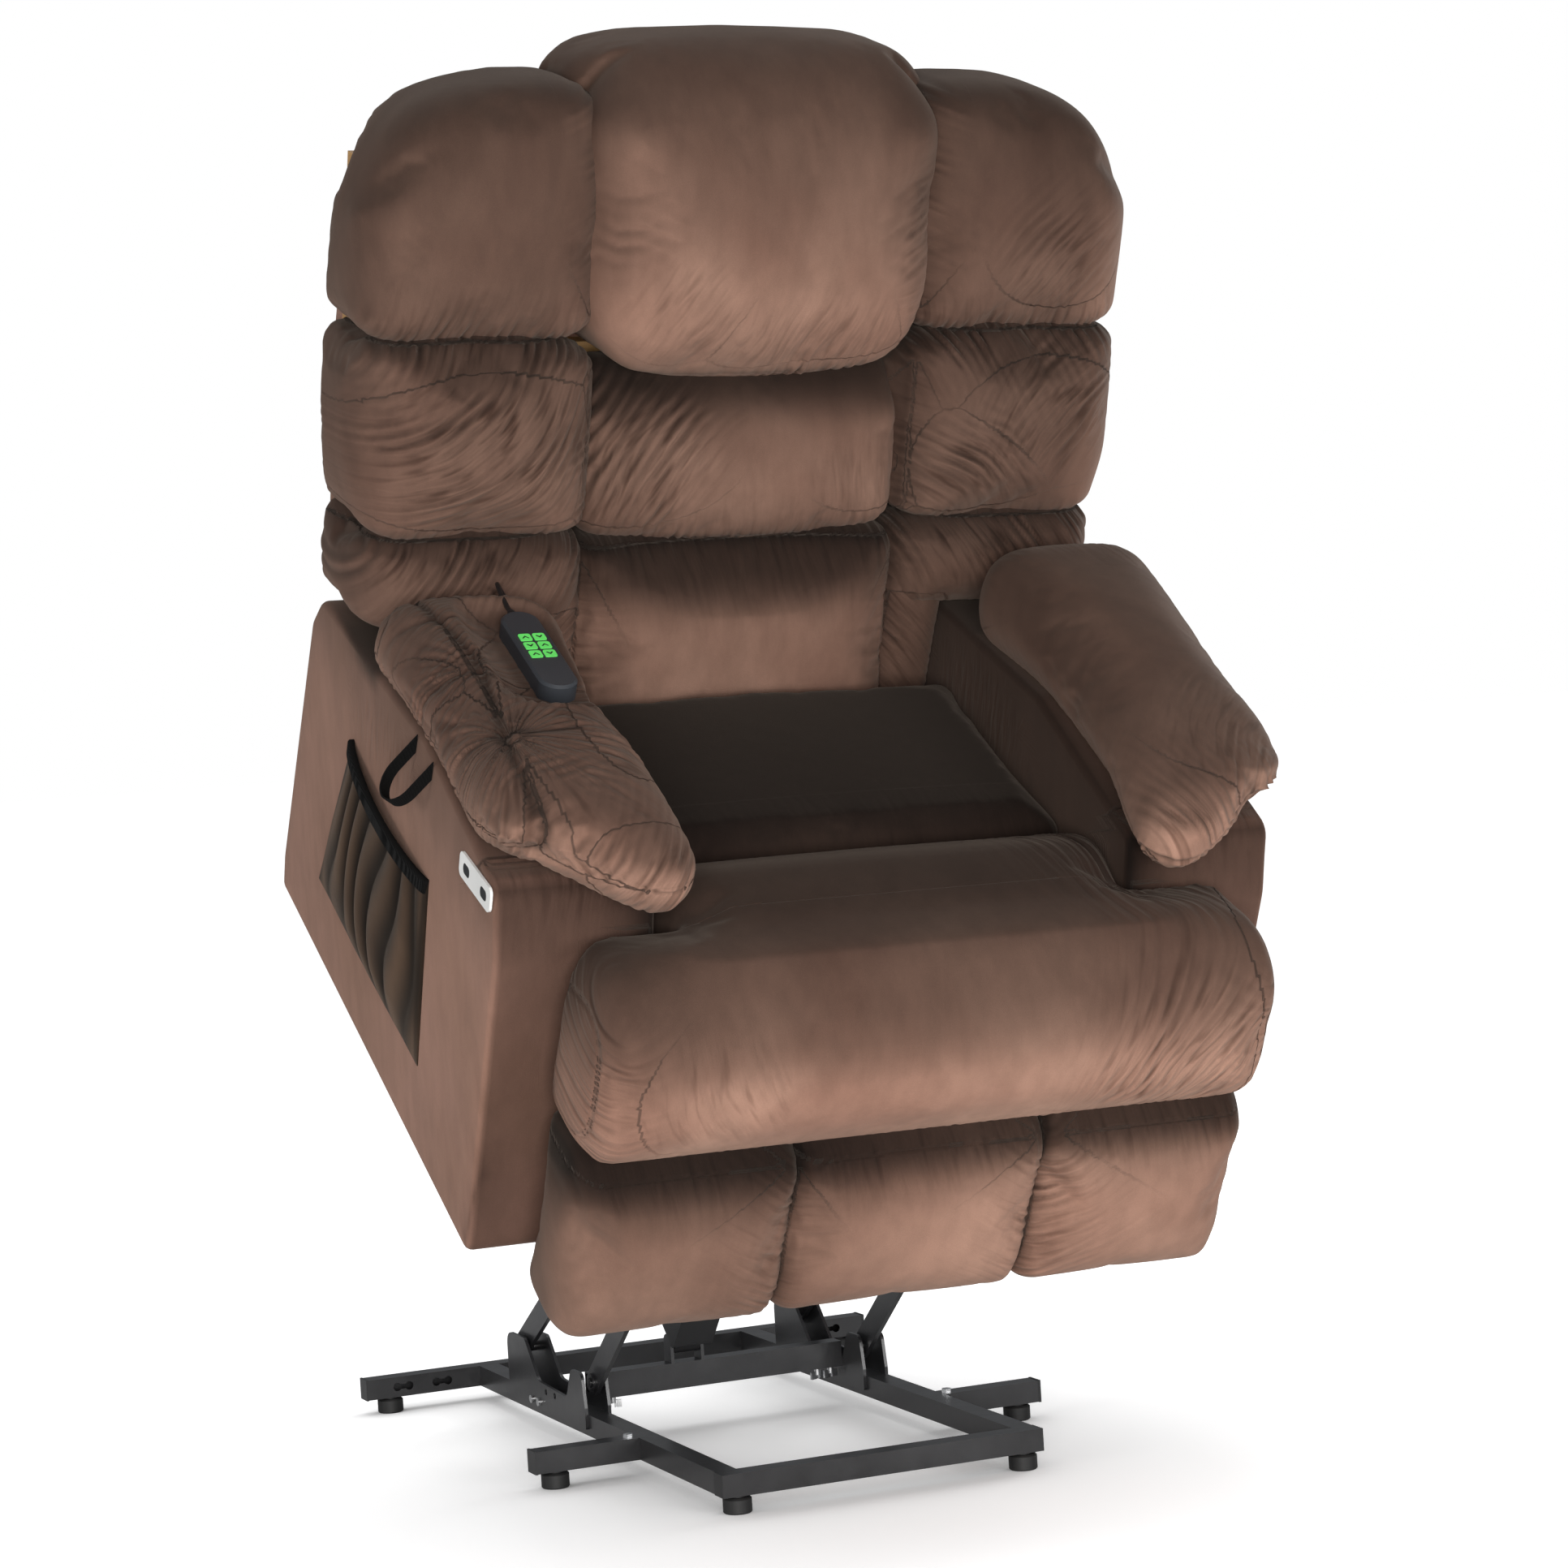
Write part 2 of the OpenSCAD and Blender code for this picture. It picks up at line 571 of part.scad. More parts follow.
module right_arm_pad() {
    difference() {
        arm_pad(-1);
        handset_pose() translate([0, 0, -soft_gap]) linear_extrude(30) handset_outline(soft_gap);
    }
}
module left_arm_pad() { arm_pad(1); }
module seat_cushion() {
    color("#5b463c") chair_pose() intersection() {
        side_prism(-seat_half + 2, seat_half - 2, rounded([
            [-236, rail_top + 1], [86, rail_top + 1], [86, seat_top - 2], [30, seat_top + 2],
            [-180, seat_top + 2], [-236, seat_top - 6]], [3, 6, 18, 60, 60, 16]));
        translate([-seat_half + 2, -300, 300]) cube([2 * seat_half - 4, 500, 300]);
    }
}
module chaise_pad() {
    color("#7a5f50") chair_pose() side_prism(-seat_half + 2, seat_half - 2, rounded([
        [-236 - seam, rail_top + 1], [-236 - seam, seat_top - 6], [-280, seat_top + 12],
        [-350, seat_top + 16], [-378, seat_top - 4], [-378, rail_top + 1]],
        [3, 16, 50, 40, 24, 3]));
}

// ---- what hangs on the right side panel ----
pocket_x = -side_half;
pocket_t = 16;
function pocket_outline() = rounded([
    [-205, 166], [150, 158], [196, 205], [127, 392], [-20, 390], [-168, 384]
], [10, 30, 26, 6, 200, 6]);
module side_pocket() {
    color("#3a2c27") chair_pose() difference() {
        side_prism(pocket_x - pocket_t, pocket_x, pocket_outline());
        side_prism(pocket_x - pocket_t + 3, pocket_x - 2, rounded([
            [-190, 174], [140, 168], [180, 206], [116, 420], [-158, 420]], [8, 26, 20, 2, 2]));
    }
}
module pocket_elastic() {
    color("#0d0d0e") chair_pose() side_prism(pocket_x - pocket_t - 2.3, pocket_x - pocket_t, rounded([
        [-166, 368], [-166, 386], [-20, 392], [124, 394], [128, 378], [-20, 374]], 2));
}
usb_mid = [-302.5, 474];
module usb_plate() {
    color("#e9e9e6") chair_pose() aimed(-side_half - 3, usb_mid - [50, -6], usb_mid + [50, -6])
        difference() {
            translate([0, 0, -14]) side_prism(0, 3, rounded(box_points(0, 101, 0, 29), 8));
            for (y = [22, 78]) translate([-1, y, 0]) rotate([0, 90, 0]) linear_extrude(5)
                polygon(rounded(box_points(-6.2, 6.2, -10.2, 10.2), 5.8));
        }
}
module usb_sockets() {
    color("#141415") chair_pose() aimed(-side_half - 3, usb_mid - [50, -6], usb_mid + [50, -6])
        for (y = [22, 78]) translate([0, y, 0]) rotate([0, 90, 0]) difference() {
            linear_extrude(2.5) polygon(rounded(box_points(-6, 6, -10, 10), 5.6));
            translate([-2.2, -6.5, 0.8]) cube([4.4, 13, 3]);
        }
}
module strap_loop() {
    color("#101011") chair_pose() difference() {
        translate([-side_half, -103, 508]) rotate([0, -strap_turn, 0])
            rotate([0, 0, 90]) translate([0, 0, -strap_w / 2]) {
                translate([0, strap_leg, 0]) rotate_extrude(angle = 180, $fn = 64)
                    translate([strap_bend - strap_t, 0]) square([strap_t, strap_w]);
                for (x = [-strap_bend, strap_bend - strap_t]) translate([x, -12, 0])
                    cube([strap_t, strap_leg + 12, strap_w]);
            }
        // sewn off flush with the side panel
        translate([-side_half, -200, 450]) cube([60, 200, 200]);
    }
}

// ---- handset, its cord and the control box ----
module handset_pose() {
    chair_pose() translate([handset_x, handset_y, pad_top - 8]) children();
}
module handset_outline(grow = 0) {
    for (end = [-1, 1]) translate([0, end * (handset_l - handset_w) / 2])
        circle(r = handset_w / 2 + grow, $fn = 48);
    square([handset_w + 2 * grow, handset_l - handset_w], center = true);
}
function button_spot(i) = [(i % 2 * 2 - 1) * button_col, button_first + 12 - floor(i / 2) * button_pitch];
split = 13;
module handset_back() {
    color("#2c2f33") handset_pose() difference() {
        linear_extrude(split) handset_outline();
        translate([0, 0, 3]) linear_extrude(split) handset_outline(-2.5);
        translate([0, handset_l / 2 - 6, cord_z]) rotate([-90, 0, 0]) cylinder(h = 12, r = 4.2, $fn = 32);
    }
}
module handset_front() {
    color("#3a3d42") handset_pose() translate([0, 0, split]) difference() {
        union() {
            linear_extrude(handset_t - split - 3) handset_outline();
            translate([0, 0, handset_t - split - 3]) hull() {
                linear_extrude(eps) handset_outline();
                translate([0, 0, 3 - eps]) linear_extrude(eps) handset_outline(-3);
            }
        }
        translate([0, 0, -1]) linear_extrude(handset_t - split - 1.5) handset_outline(-2.5);
        for (i = [0 : 5]) translate([button_spot(i)[0], button_spot(i)[1], 0])
            cube([button_w + 0.4, button_l + 0.4, 60], center = true);
        translate([0, handset_l / 2 - 6, cord_z - split]) rotate([-90, 0, 0])
            cylinder(h = 12, r = 4.2, $fn = 32);
    }
}
module button(i) {
    s = button_spot(i);
    color("#7fe37a") handset_pose() translate([s[0], s[1], handset_t - 2.5])
        linear_extrude(button_t) polygon(rounded(
            box_points(-button_w / 2, button_w / 2, -button_l / 2, button_l / 2), 3));
}
module button_lift() { button(0); }
module button_lower() { button(1); }
module button_recline() { button(2); }
module button_upright() { button(3); }
module button_leg_up() { button(4); }
module button_leg_down() { button(5); }
// Ribbed strain relief at the handset's rear end
module handset_gland() {
    neck = 4.5;
    color("#111213") handset_pose() translate([0, handset_l / 2 - 4, cord_z]) rotate([-90, 0, 0]) {
        cylinder(h = neck, r = 4.1, $fn = 32);
        for (k = [0 : 3]) translate([0, 0, neck + k * 3.375])
            rotate_extrude($fn = 32) polygon([[0, 0], [5.6 - k * 0.5, 0], [4.9 - k * 0.5, 3.375], [0, 3.375]]);
    }
}
box_spot = [-170, 158, 200];
module control_box() {
    color("#1b1c1e") chair_pose() {
        translate(box_spot) difference() {
            linear_extrude(58 - eps) polygon(rounded(box_points(0, 118, 0, 46), 6));
            // mains inlet in the rear face
            translate([60, 30, 14]) cube([28, 20, 20]);
        }
        for (x = [65, 79]) translate(box_spot + [x, 28, 20]) cube([4, 12, 8]);
    }
}
module cord_plug() {
    color("#111213") chair_pose() translate([box_spot[0] - 10, 176, 230]) rotate([0, 90, 0])
        cylinder(h = 10, r = 7, $fn = 32);
}
// A smooth cord swept along Catmull-Rom curves through the route
function spline(p0, p1, p2, p3, t) = 0.5 * ((2 * p1) + (p2 - p0) * t
    + (2 * p0 - 5 * p1 + 4 * p2 - p3) * t * t + (3 * p1 - p0 - 3 * p2 + p3) * t * t * t);
module cord(route, r, steps, sides) {
    last = len(route) - 1;
    path = [for (i = [0 : last - 1], k = [0 : steps - 1])
        spline(route[max(i - 1, 0)], route[i], route[i + 1], route[min(i + 2, last)], k / steps),
        route[last]];
    n = len(path);
    points = [for (i = [0 : n - 1])
        let (d = unit(path[min(i + 1, n - 1)] - path[max(i - 1, 0)]),
             side = unit(cross(d, [0.3, 1, 0.2])), up = cross(side, d))
        for (k = [0 : sides - 1]) path[i] + r * (cos(360 * k / sides) * side + sin(360 * k / sides) * up)];
    faces = concat(
        [[for (k = [0 : sides - 1]) k]],
        [for (i = [0 : n - 2], k = [0 : sides - 1]) let (a = i * sides + k, b = i * sides + (k + 1) % sides)
            [a, a + sides, b + sides, b]],
        [[for (k = [sides - 1 : -1 : 0]) (n - 1) * sides + k]]);
    polyhedron(points, faces);
}
module handset_cord() {
    color("#0f0f10") chair_pose() cord(cord_route, cord_r, 4, 8);
}

// ---- backrest, chair frame: u along the rake, v to the rear ----
function back_point(v, u) = back_datum + turned([v, u], -back_rake);
module back_prism(x0, x1, pts) { side_prism(x0, x1, [for (p = pts) back_point(p[0], p[1])]); }
// A prism along v of an outline seen from the front, in x and u
module back_face(v0, v1, pts) {
    translate([0, back_datum[0], back_datum[1]]) rotate([-back_rake, 0, 0])
        translate([0, v1, 0]) rotate([90, 0, 0]) linear_extrude(v1 - v0) polygon(pts);
}
frame_v = [cushion_d + seam, cushion_d + 30];
pillow_foot = 285;                           // lower ends of the head pillow and lumbar cushion
lumbar_foot = 92;
rail_u = back_len - 43;                      // top of the frame's top rail
post_top = rail_u - 22;
side_post_top = back_len - 110;
module back_frame() {
    color("#b08d5f") chair_pose() {
        both_sides() {
            back_prism(201, 235, box_points(frame_v[0], frame_v[1], 32, post_top));
            back_prism(432, 452, box_points(frame_v[0], frame_v[1], 66, side_post_top));
        }
        for (u = [66, 262, side_post_top - 36]) both_sides()
            back_prism(235, 432, box_points(frame_v[0] + 4, frame_v[1], u, u + 36));
        // the lower middle rail fits between the brackets
        for (rail = [[66, bracket_x], [262, 201]])
            back_prism(-rail[1], rail[1], box_points(frame_v[0] + 4, frame_v[1], rail[0], rail[0] + 36));
        back_prism(-390, 390, box_points(frame_v[0], frame_v[1], post_top, rail_u));
    }
}
module back_brackets() {
    top = back_point(frame_v[0] + 12, 190);
    x1 = bracket_x + plate_t;
    color("#202124") chair_pose() {
        both_sides() difference() {
            union() {
                side_prism(bracket_x, x1, rounded([
                    back_hinge + [-20, -14], back_crank + [-13, -12], back_crank + [13, -12],
                    back_hinge + [20, 6], back_point(frame_v[1], 20), back_point(frame_v[1], 200),
                    back_point(frame_v[0] + 4, 200), back_point(frame_v[0] + 4, 70)],
                    [14, 11, 11, 14, 20, 6, 6, 20]));
            }
            x_rod(bracket_x - 1, x1 + 1, back_hinge, 8 + fit);
        }
        // tube that the back motor's rod works on
        x_rod(-bracket_x, bracket_x, back_crank, crank_pin_r);
    }
}
module back_panel() {
    v0 = frame_v[1] + seam;
    v1 = v0 + 30;
    color("#7a5f50") chair_pose() {
        intersection() {
            back_prism(-wing_half, wing_half, rounded(box_points(v0, v1, 24, back_len + 2), [4, 14, 14, 4]));
            back_face(v0 - 1, v1 + 1, let (half = [
                [wing_half - 10, 20], [wing_half - 2, 300], [wing_half - 14, back_len - 20],
                [column_half + 12, back_len - 20], [column_half - 12, back_len + 3]])
                rounded(concat(half, [for (i = [4 : -1 : 0]) [-half[i][0], half[i][1]]]),
                    [14, 200, 88, 16, 16, 16, 16, 88, 200, 14]));
        }
        back_prism(-186, 186, rounded(box_points(v0, v1, -64, 34), [4, 14, 0, 0]));
    }
}
// Lower edge of a wing, just above the arm panel
function wing_foot(v) = -20 + (v + 52) * 0.121;
function wing_outline(inset) = rounded([
    [column_half + 6 - inset, -60], [wing_half - 8 - inset, -60], [wing_half - inset, 300],
    [wing_half - 12 - inset, back_len - 18 - inset], [column_half + 6 - inset, back_len - 18 - inset]],
    [1, 20, 200 - inset, 90 - inset, 1]);
// Three stacked pillows whose cover wraps round the back frame, and a strip that fills the corner
// between the arm and the lower cushion
module wing(side) {
    x0 = column_half + 7;
    wrap = 13;
    seam_1 = 104;
    seam_2 = 332;
    stack = [[undef, seam_1, -44], [seam_1 + seam, seam_2, -36], [seam_2 + seam, back_len - 18, -26]];
    color("#8a6a58") chair_pose() scale([side, 1, 1]) {
        for (s = stack)
            let (low = function (v) is_undef(s[0]) ? wing_foot(v) : s[0]) union() {
                intersection() {
                    back_prism(x0, wing_half, rounded([
                        [s[2], low(s[2])], [cushion_d, low(cushion_d)], [cushion_d, s[1]], [s[2], s[1]]],
                        [26, 0, 0, 26]));
                    back_face(-60, cushion_d + 1, wing_outline(0));
                }
                intersection() {
                    back_prism(x0, wing_half, [
                        [cushion_d, low(cushion_d)], [frame_v[1], low(frame_v[1])],
                        [frame_v[1], s[1]], [cushion_d, s[1]]]);
                    difference() {
                        back_face(cushion_d - 1, frame_v[1] + 1, wing_outline(0));
                        back_face(cushion_d - 2, frame_v[1] + 2, wing_outline(wrap));
                    }
                }
            }
        side_prism(plate_x + 6.5, seat_half - 2.5, rounded([
            back_point(-44, wing_foot(-44) - seam), back_point(60, wing_foot(60) - seam), [236, 470],
            [236, 400], [215, 346], [152, 346], [135, 420], [130, 480]], [10, 4, 10, 20, 10, 20, 30, 60]));
    }
}
module right_wing() { wing(-1); }
module left_wing() { wing(1); }
module head_pillow() {
    color("#8f6f5c") chair_pose() back_prism(-column_half - 6.7, column_half + 6.7, rounded([
        [-54, pillow_foot], [cushion_d, pillow_foot], [cushion_d, rail_u + seam],
        [frame_v[1], rail_u + seam], [frame_v[1], back_len + 4], [80, back_len + 18],
        [10, back_len + 15], [-42, back_len - 50], [-66, 400]], [40, 4, 0, 4, 10, 20, 50, 60, 60]));
}
module lumbar_cushion() {
    color("#7a5f50") chair_pose() back_prism(-column_half, column_half, rounded([
        [-8, lumbar_foot], [cushion_d, lumbar_foot], [cushion_d, pillow_foot - seam],
        [-10, pillow_foot - seam], [-34, 230], [-34, 140]],
        [30, 4, 4, 30, 40, 40]));
}
module lower_cushion() {
    color("#5b463c") chair_pose() back_prism(-column_half + 12, column_half - 12, rounded([
        [-36, -110], [-12, -150], [56, -170], [cushion_d, -40], [cushion_d, lumbar_foot - seam],
        [-8, lumbar_foot - seam], [-40, 46], [-44, -60]],
        [30, 30, 30, 30, 4, 26, 40, 40]));
}

// ---- footrest linkage and footrest ----
// The drive link widens towards its end, where it carries two pins
function drive_outline() =
    let (d = swing_dir, n = [-d[1], d[0]], hub = drive_shaft_r + 7, e = link_w / 2)
    rounded([
        swing_pivot - hub * d - hub * n, swing_pivot + 60 * d - e * n, swing_end + e * d - e * n,
        swing_end + e * d + e * n, guide_start + 9 * d + 12 * n, guide_start - 14 * d + 10 * n,
        swing_pivot + 90 * d + e * n, swing_pivot - hub * d + hub * n
    ], [hub - 0.5, 30, e - 0.5, e - 0.5, 10, 10, 40, hub - 0.5]);
module drive_links() {
    x1 = drive_x + link_t;
    color("#1a1a1c") chair_pose() {
        both_sides() {
            side_prism(drive_x, drive_x + link_t, drive_outline());
            for (p = [swing_end, guide_start]) x_rod(carrier_x - 1, drive_x + eps, p, link_pin_r);
        }
        difference() {
            x_rod(-x1, x1, swing_pivot, drive_shaft_r);
            x_rod(-x1 - 1, x1 + 1, swing_pivot, drive_shaft_r - 2.5);
        }
        for (side = [-1, 1]) difference() {
            side_prism(-motor_x + side * 20 - 3, -motor_x + side * 20 + 3, rounded([
                swing_pivot + [-16, -16], leg_crank + [10, -12], leg_crank + [14, 10],
                swing_pivot + [6, 18], swing_pivot + [-16, 16]], [15, 11, 11, 14, 15]));
            x_rod(-motor_x - 24, -motor_x + 24, swing_pivot, drive_shaft_r - 1);
        }
        x_rod(-motor_x - 20, -motor_x + 20, leg_crank, crank_pin_r);
    }
}
module follower_links() {
    color("#1a1a1c") chair_pose() both_sides() {
        difference() {
            flat_bar(follow_x, link_t, [follow_pivot, follow_end], link_w);
            x_rod(follow_x - 1, follow_x + link_t + 1, follow_pivot, link_pin_r + fit);
            x_rod(follow_x - 1, follow_x + link_t + 1, follow_end, link_pin_r + 1);
        }
    }
}
module carrier_bars() {
    color("#1a1a1c") chair_pose() both_sides() difference() {
        union() {
            flat_bar(carrier_x, link_t, [follow_end, swing_end, foot_pivot], link_w);
            x_rod(follow_x - 1, carrier_x + eps, follow_end, link_pin_r);
        }
        for (p = [swing_end, foot_pivot])
            x_rod(carrier_x - 1, carrier_x + link_t + 1, p, link_pin_r + fit);
    }
}
module guide_bars() {
    color("#1a1a1c") chair_pose() both_sides() difference() {
        flat_bar(carrier_x, link_t, [guide_start, foot_pivot_2], link_w);
        x_rod(carrier_x - 1, carrier_x + link_t + 1, guide_start, link_pin_r + fit);
        x_rod(carrier_x - 1, carrier_x + link_t + 1, foot_pivot_2, link_pin_r + 1);
    }
}
module footrest_brackets() {
    x1 = drive_x + link_t;
    color("#1a1a1c") chair_pose() both_sides() {
        side_prism(drive_x, x1, rounded([
            [board_y, foot_pivot[1] - 46], [foot_pivot[0] + 14, foot_pivot[1] - 16],
            [foot_pivot[0] + 14, foot_pivot[1] + 14], [foot_pivot_2[0] + 14, foot_pivot_2[1] + 14],
            [board_y, foot_pivot_2[1] + 46]], [0, 10, 20, 10, 0]));
        translate([drive_x, board_y, foot_pivot[1] - 60]) cube([26, 3, 180]);
        for (p = [foot_pivot, foot_pivot_2]) x_rod(carrier_x - 1, drive_x + eps, p, link_pin_r);
    }
}
module footrest_board() {
    color("#b08d5f") chair_pose() translate([-foot_half + 20, board_y - 12, 34])
        cube([2 * foot_half - 40, 12, 362]);
}
// Cover that hides an end of the board
module boxing(z0, z1) {
    side_prism(foot_half - 19.7, foot_half - 2, box_points(board_y - 12, board_y, z0, z1));
}
module footrest_roll() {
    y0 = board_y - 12;
    color("#94725f") chair_pose() both_sides() boxing(roll_bottom, 396);
    color("#94725f") chair_pose() intersection() {
        side_prism(-foot_half, foot_half, rounded([
            [y0, roll_bottom], [foot_front + 30, roll_bottom], [foot_front + 2, 300], [foot_front, 360],
            [foot_front + 20, 420], [-498, 462], [-450, 468], [-404, 440], [-396, 400 - seam],
            [board_y, 396 + seam], [y0, 396 + seam]],
            [3, 40, 60, 60, 60, 50, 40, 30, 8, 0, 0]));
        linear_extrude(600) polygon(rounded([[-foot_half, -340], [foot_half, -340],
            [foot_half, foot_front], [-foot_half, foot_front]], [0, 0, 26, 26]));
    }
}
module footrest_panel() {
    y0 = board_y - 12;
    color("#8a6a58") chair_pose() both_sides() boxing(foot_bottom + 14, roll_bottom - seam);
    color("#8a6a58") chair_pose() intersection() {
        side_prism(-foot_half, foot_half, rounded([
            [y0, foot_bottom + 14], [y0 - 20, foot_bottom], [foot_front + 30, foot_bottom],
            [foot_front + 2, 80], [foot_front, roll_bottom - 40], [foot_front + 26, roll_bottom - seam],
            [y0, roll_bottom - seam]], [8, 14, 34, 60, 60, 24, 3]));
        linear_extrude(600) polygon(rounded([[-foot_half + 2, -340], [foot_half - 2, -340],
            [foot_half - 2, foot_front], [-foot_half + 2, foot_front]], [0, 0, 22, 22]));
    }
}

front_bar();
side_rails();
outriggers();
rear_bar();
motor_cross_bar();
pivot_brackets();
feet();
tube_caps();
base_bolts();
rear_lift_arms();
front_lift_arms();
lift_motor();
lift_motor_rod();
mechanism_plates();
cross_tubes();
seat_frame();
seat_springs();
right_arm_box();
left_arm_box();
right_arm_pad();
left_arm_pad();
seat_cushion();
chaise_pad();
side_pocket();
pocket_elastic();
usb_plate();
usb_sockets();
strap_loop();
control_box();
handset_back();
handset_front();
handset_gland();
cord_plug();
handset_cord();
button_lift();
button_lower();
button_recline();
button_upright();
button_leg_up();
button_leg_down();
back_frame();
back_brackets();
back_panel();
head_pillow();
lumbar_cushion();
lower_cushion();
right_wing();
left_wing();
back_motor();
back_motor_rod();
drive_links();
follower_links();
carrier_bars();
guide_bars();
footrest_brackets();
footrest_board();
footrest_roll();
footrest_panel();
leg_motor();
leg_motor_rod();
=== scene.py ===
"""Lift recliner chair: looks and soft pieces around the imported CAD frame."""
import json
import math

import bmesh
import bpy
import numpy as np
from mathutils import Matrix, Vector


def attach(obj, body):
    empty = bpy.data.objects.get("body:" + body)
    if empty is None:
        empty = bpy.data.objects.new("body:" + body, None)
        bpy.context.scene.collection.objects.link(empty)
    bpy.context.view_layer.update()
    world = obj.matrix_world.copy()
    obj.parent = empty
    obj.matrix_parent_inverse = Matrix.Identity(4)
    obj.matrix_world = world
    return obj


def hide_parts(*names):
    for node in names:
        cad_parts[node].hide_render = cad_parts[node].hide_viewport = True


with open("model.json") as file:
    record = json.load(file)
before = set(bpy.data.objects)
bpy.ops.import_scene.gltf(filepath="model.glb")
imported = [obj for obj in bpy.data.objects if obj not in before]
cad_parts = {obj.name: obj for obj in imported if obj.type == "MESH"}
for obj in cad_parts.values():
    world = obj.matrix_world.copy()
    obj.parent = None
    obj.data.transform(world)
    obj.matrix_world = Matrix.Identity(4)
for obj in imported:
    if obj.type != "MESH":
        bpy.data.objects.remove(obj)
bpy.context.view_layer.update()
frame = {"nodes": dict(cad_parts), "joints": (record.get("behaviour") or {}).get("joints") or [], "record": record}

# ---- places
# Soft pieces are drawn in the chair's own upright frame, in millimetres: +Z up, facing -Y.
JOINT = {j["name"]: j for j in frame["joints"]}
press = JOINT["press_lift"]["axis"]        # a key is pressed along the chair's own -Z, which gives its tilt
TILT = math.atan2(press[1], -press[2])
BACK_HINGE = np.array([0.0, 275.0, 415.0])
RAKE = math.radians(12.4)
BACK_FOOT = np.array([0.0, 174.0, 520.0])      # front of the wings at the arm line
SEAT_SEAM = -237.0        # Y where the seat cushion meets the chaise pad
ROLL_CUT = -392.0         # Y where the footrest's roll parts from the chaise pad
ROLL_FOOT = 238.0         # Z of the roll's underside
ROLL_HALF, CHAISE_HALF = 402.0, 279.0            # half widths
CHANNELS = 148.0          # X of the footrest panel's two seams
ARM_INNER, ARM_OUTER, ARM_CROWN = 284.0, 466.0, 3.0      # X of an arm's faces and how far they bulge
ARM_FACE = ARM_OUTER + ARM_CROWN
PAD_NOSE, PAD_REAR = -452.0, 98.0                # Y of an arm pad's ends
TUFT_LINE = 428.0         # X of the gathered seam on the right arm pad


def turn_x(angle):
    c, s = math.cos(angle), math.sin(angle)
    return np.array([[1, 0, 0], [0, c, -s], [0, s, c]])


CHAIR_TURN = turn_x(TILT)
CHAIR_PLACE = np.array(JOINT["recline"]["pos_m"]) - CHAIR_TURN @ BACK_HINGE / 1000


def chair(points):
    """Chair millimetres to row metres."""
    return np.asarray(points, float) @ CHAIR_TURN.T / 1000 + CHAIR_PLACE


def unchair(points):
    """Row metres to chair millimetres."""
    return (np.asarray(points, float) - CHAIR_PLACE) @ CHAIR_TURN * 1000


def back(points):
    """Backrest millimetres (x, v to the rear, u up the rake) to chair millimetres."""
    return np.asarray(points, float) @ turn_x(-RAKE).T + BACK_FOOT


def unback(points):
    """Chair millimetres to backrest millimetres."""
    return (np.asarray(points, float) - BACK_FOOT) @ turn_x(-RAKE)


# ---- numbers and noise
def smooth(t):
    """0 to 1 without corners as t goes from 0 to 1."""
    t = np.clip(t, 0, 1)
    return t * t * (3 - 2 * t)


def step(v, start, end):
    """Smoothly from 0 to 1 as v goes from start to end."""
    return smooth((v - start) / (end - start))


def near(v, reach):
    """1 where v is 0, and less the farther it is from 0."""
    return np.exp(-np.abs(v) / reach)


def hashed(ix, iy, iz, seed):
    """A fixed number from -1 to 1 for each lattice cell."""
    h = (ix * 73856093) ^ (iy * 19349663) ^ (iz * 83492791) ^ (seed * 2654435761)
    h = (h ^ (h >> 13)) * 1274126177
    return ((h ^ (h >> 16)) & 0xFFFF) / 32767.5 - 1.0


def noise(p, seed=0):
    """Smooth value noise from -1 to 1 at points p."""
    p = np.asarray(p, float)
    i = np.floor(p).astype(np.int64)
    f = smooth(p - i)
    out = 0
    for dx in (0, 1):
        for dy in (0, 1):
            for dz in (0, 1):
                w = abs(1 - dx - f[:, 0]) * abs(1 - dy - f[:, 1]) * abs(1 - dz - f[:, 2])
                out = out + w * hashed(i[:, 0] + dx, i[:, 1] + dy, i[:, 2] + dz, seed)
    return out


# ---- camera, lights, stage
def place(name, data):
    """A new object in the scene."""
    obj = bpy.data.objects.new(name, data)
    bpy.context.scene.collection.objects.link(obj)
    return obj


def make_camera():
    """A long lens that looks slightly down from the chair's front right, rolled by a few degrees."""
    azimuth, pitch, roll = math.radians(-23.06), math.radians(2.0), math.radians(-3.414)
    level = math.cos(pitch)
    rear = Vector((math.sin(azimuth) * level, -math.cos(azimuth) * level, math.sin(pitch)))
    side = Vector((math.cos(azimuth), math.sin(azimuth), 0))
    up = side.cross(-rear)
    right = side * math.cos(roll) + up * math.sin(roll)
    top = up * math.cos(roll) - side * math.sin(roll)
    data = bpy.data.cameras.new("camera")
    data.sensor_width = 36
    data.lens = 90.17
    cam = place("camera", data)
    turn = Matrix((right, top, rear)).transposed()
    cam.matrix_world = Matrix.Translation((-1.789 + CHAIR_PLACE[0], -4.3332, 0.9595)) @ turn.to_4x4()
    bpy.context.scene.camera = cam


def area_light(name, at, aim, size, power, colour=(1, 1, 1)):
    data = bpy.data.lights.new(name, "AREA")
    data.shape = "RECTANGLE"
    data.size, data.size_y = size
    data.energy = power
    data.color = colour
    lamp = place(name, data)
    lamp.location = at
    lamp.rotation_euler = (Vector(aim) - Vector(at)).to_track_quat("-Z", "Y").to_euler()


def add_node(tree, kind, inputs=None, **settings):
    """A new shader node; each input is a value or another node's output to link."""
    n = tree.nodes.new("ShaderNode" + kind)
    for key, value in settings.items():
        setattr(n, key, value)
    for key, value in (inputs or {}).items():
        if isinstance(value, bpy.types.NodeSocket):
            tree.links.new(value, n.inputs[key])
        else:
            n.inputs[key].default_value = value
    return n


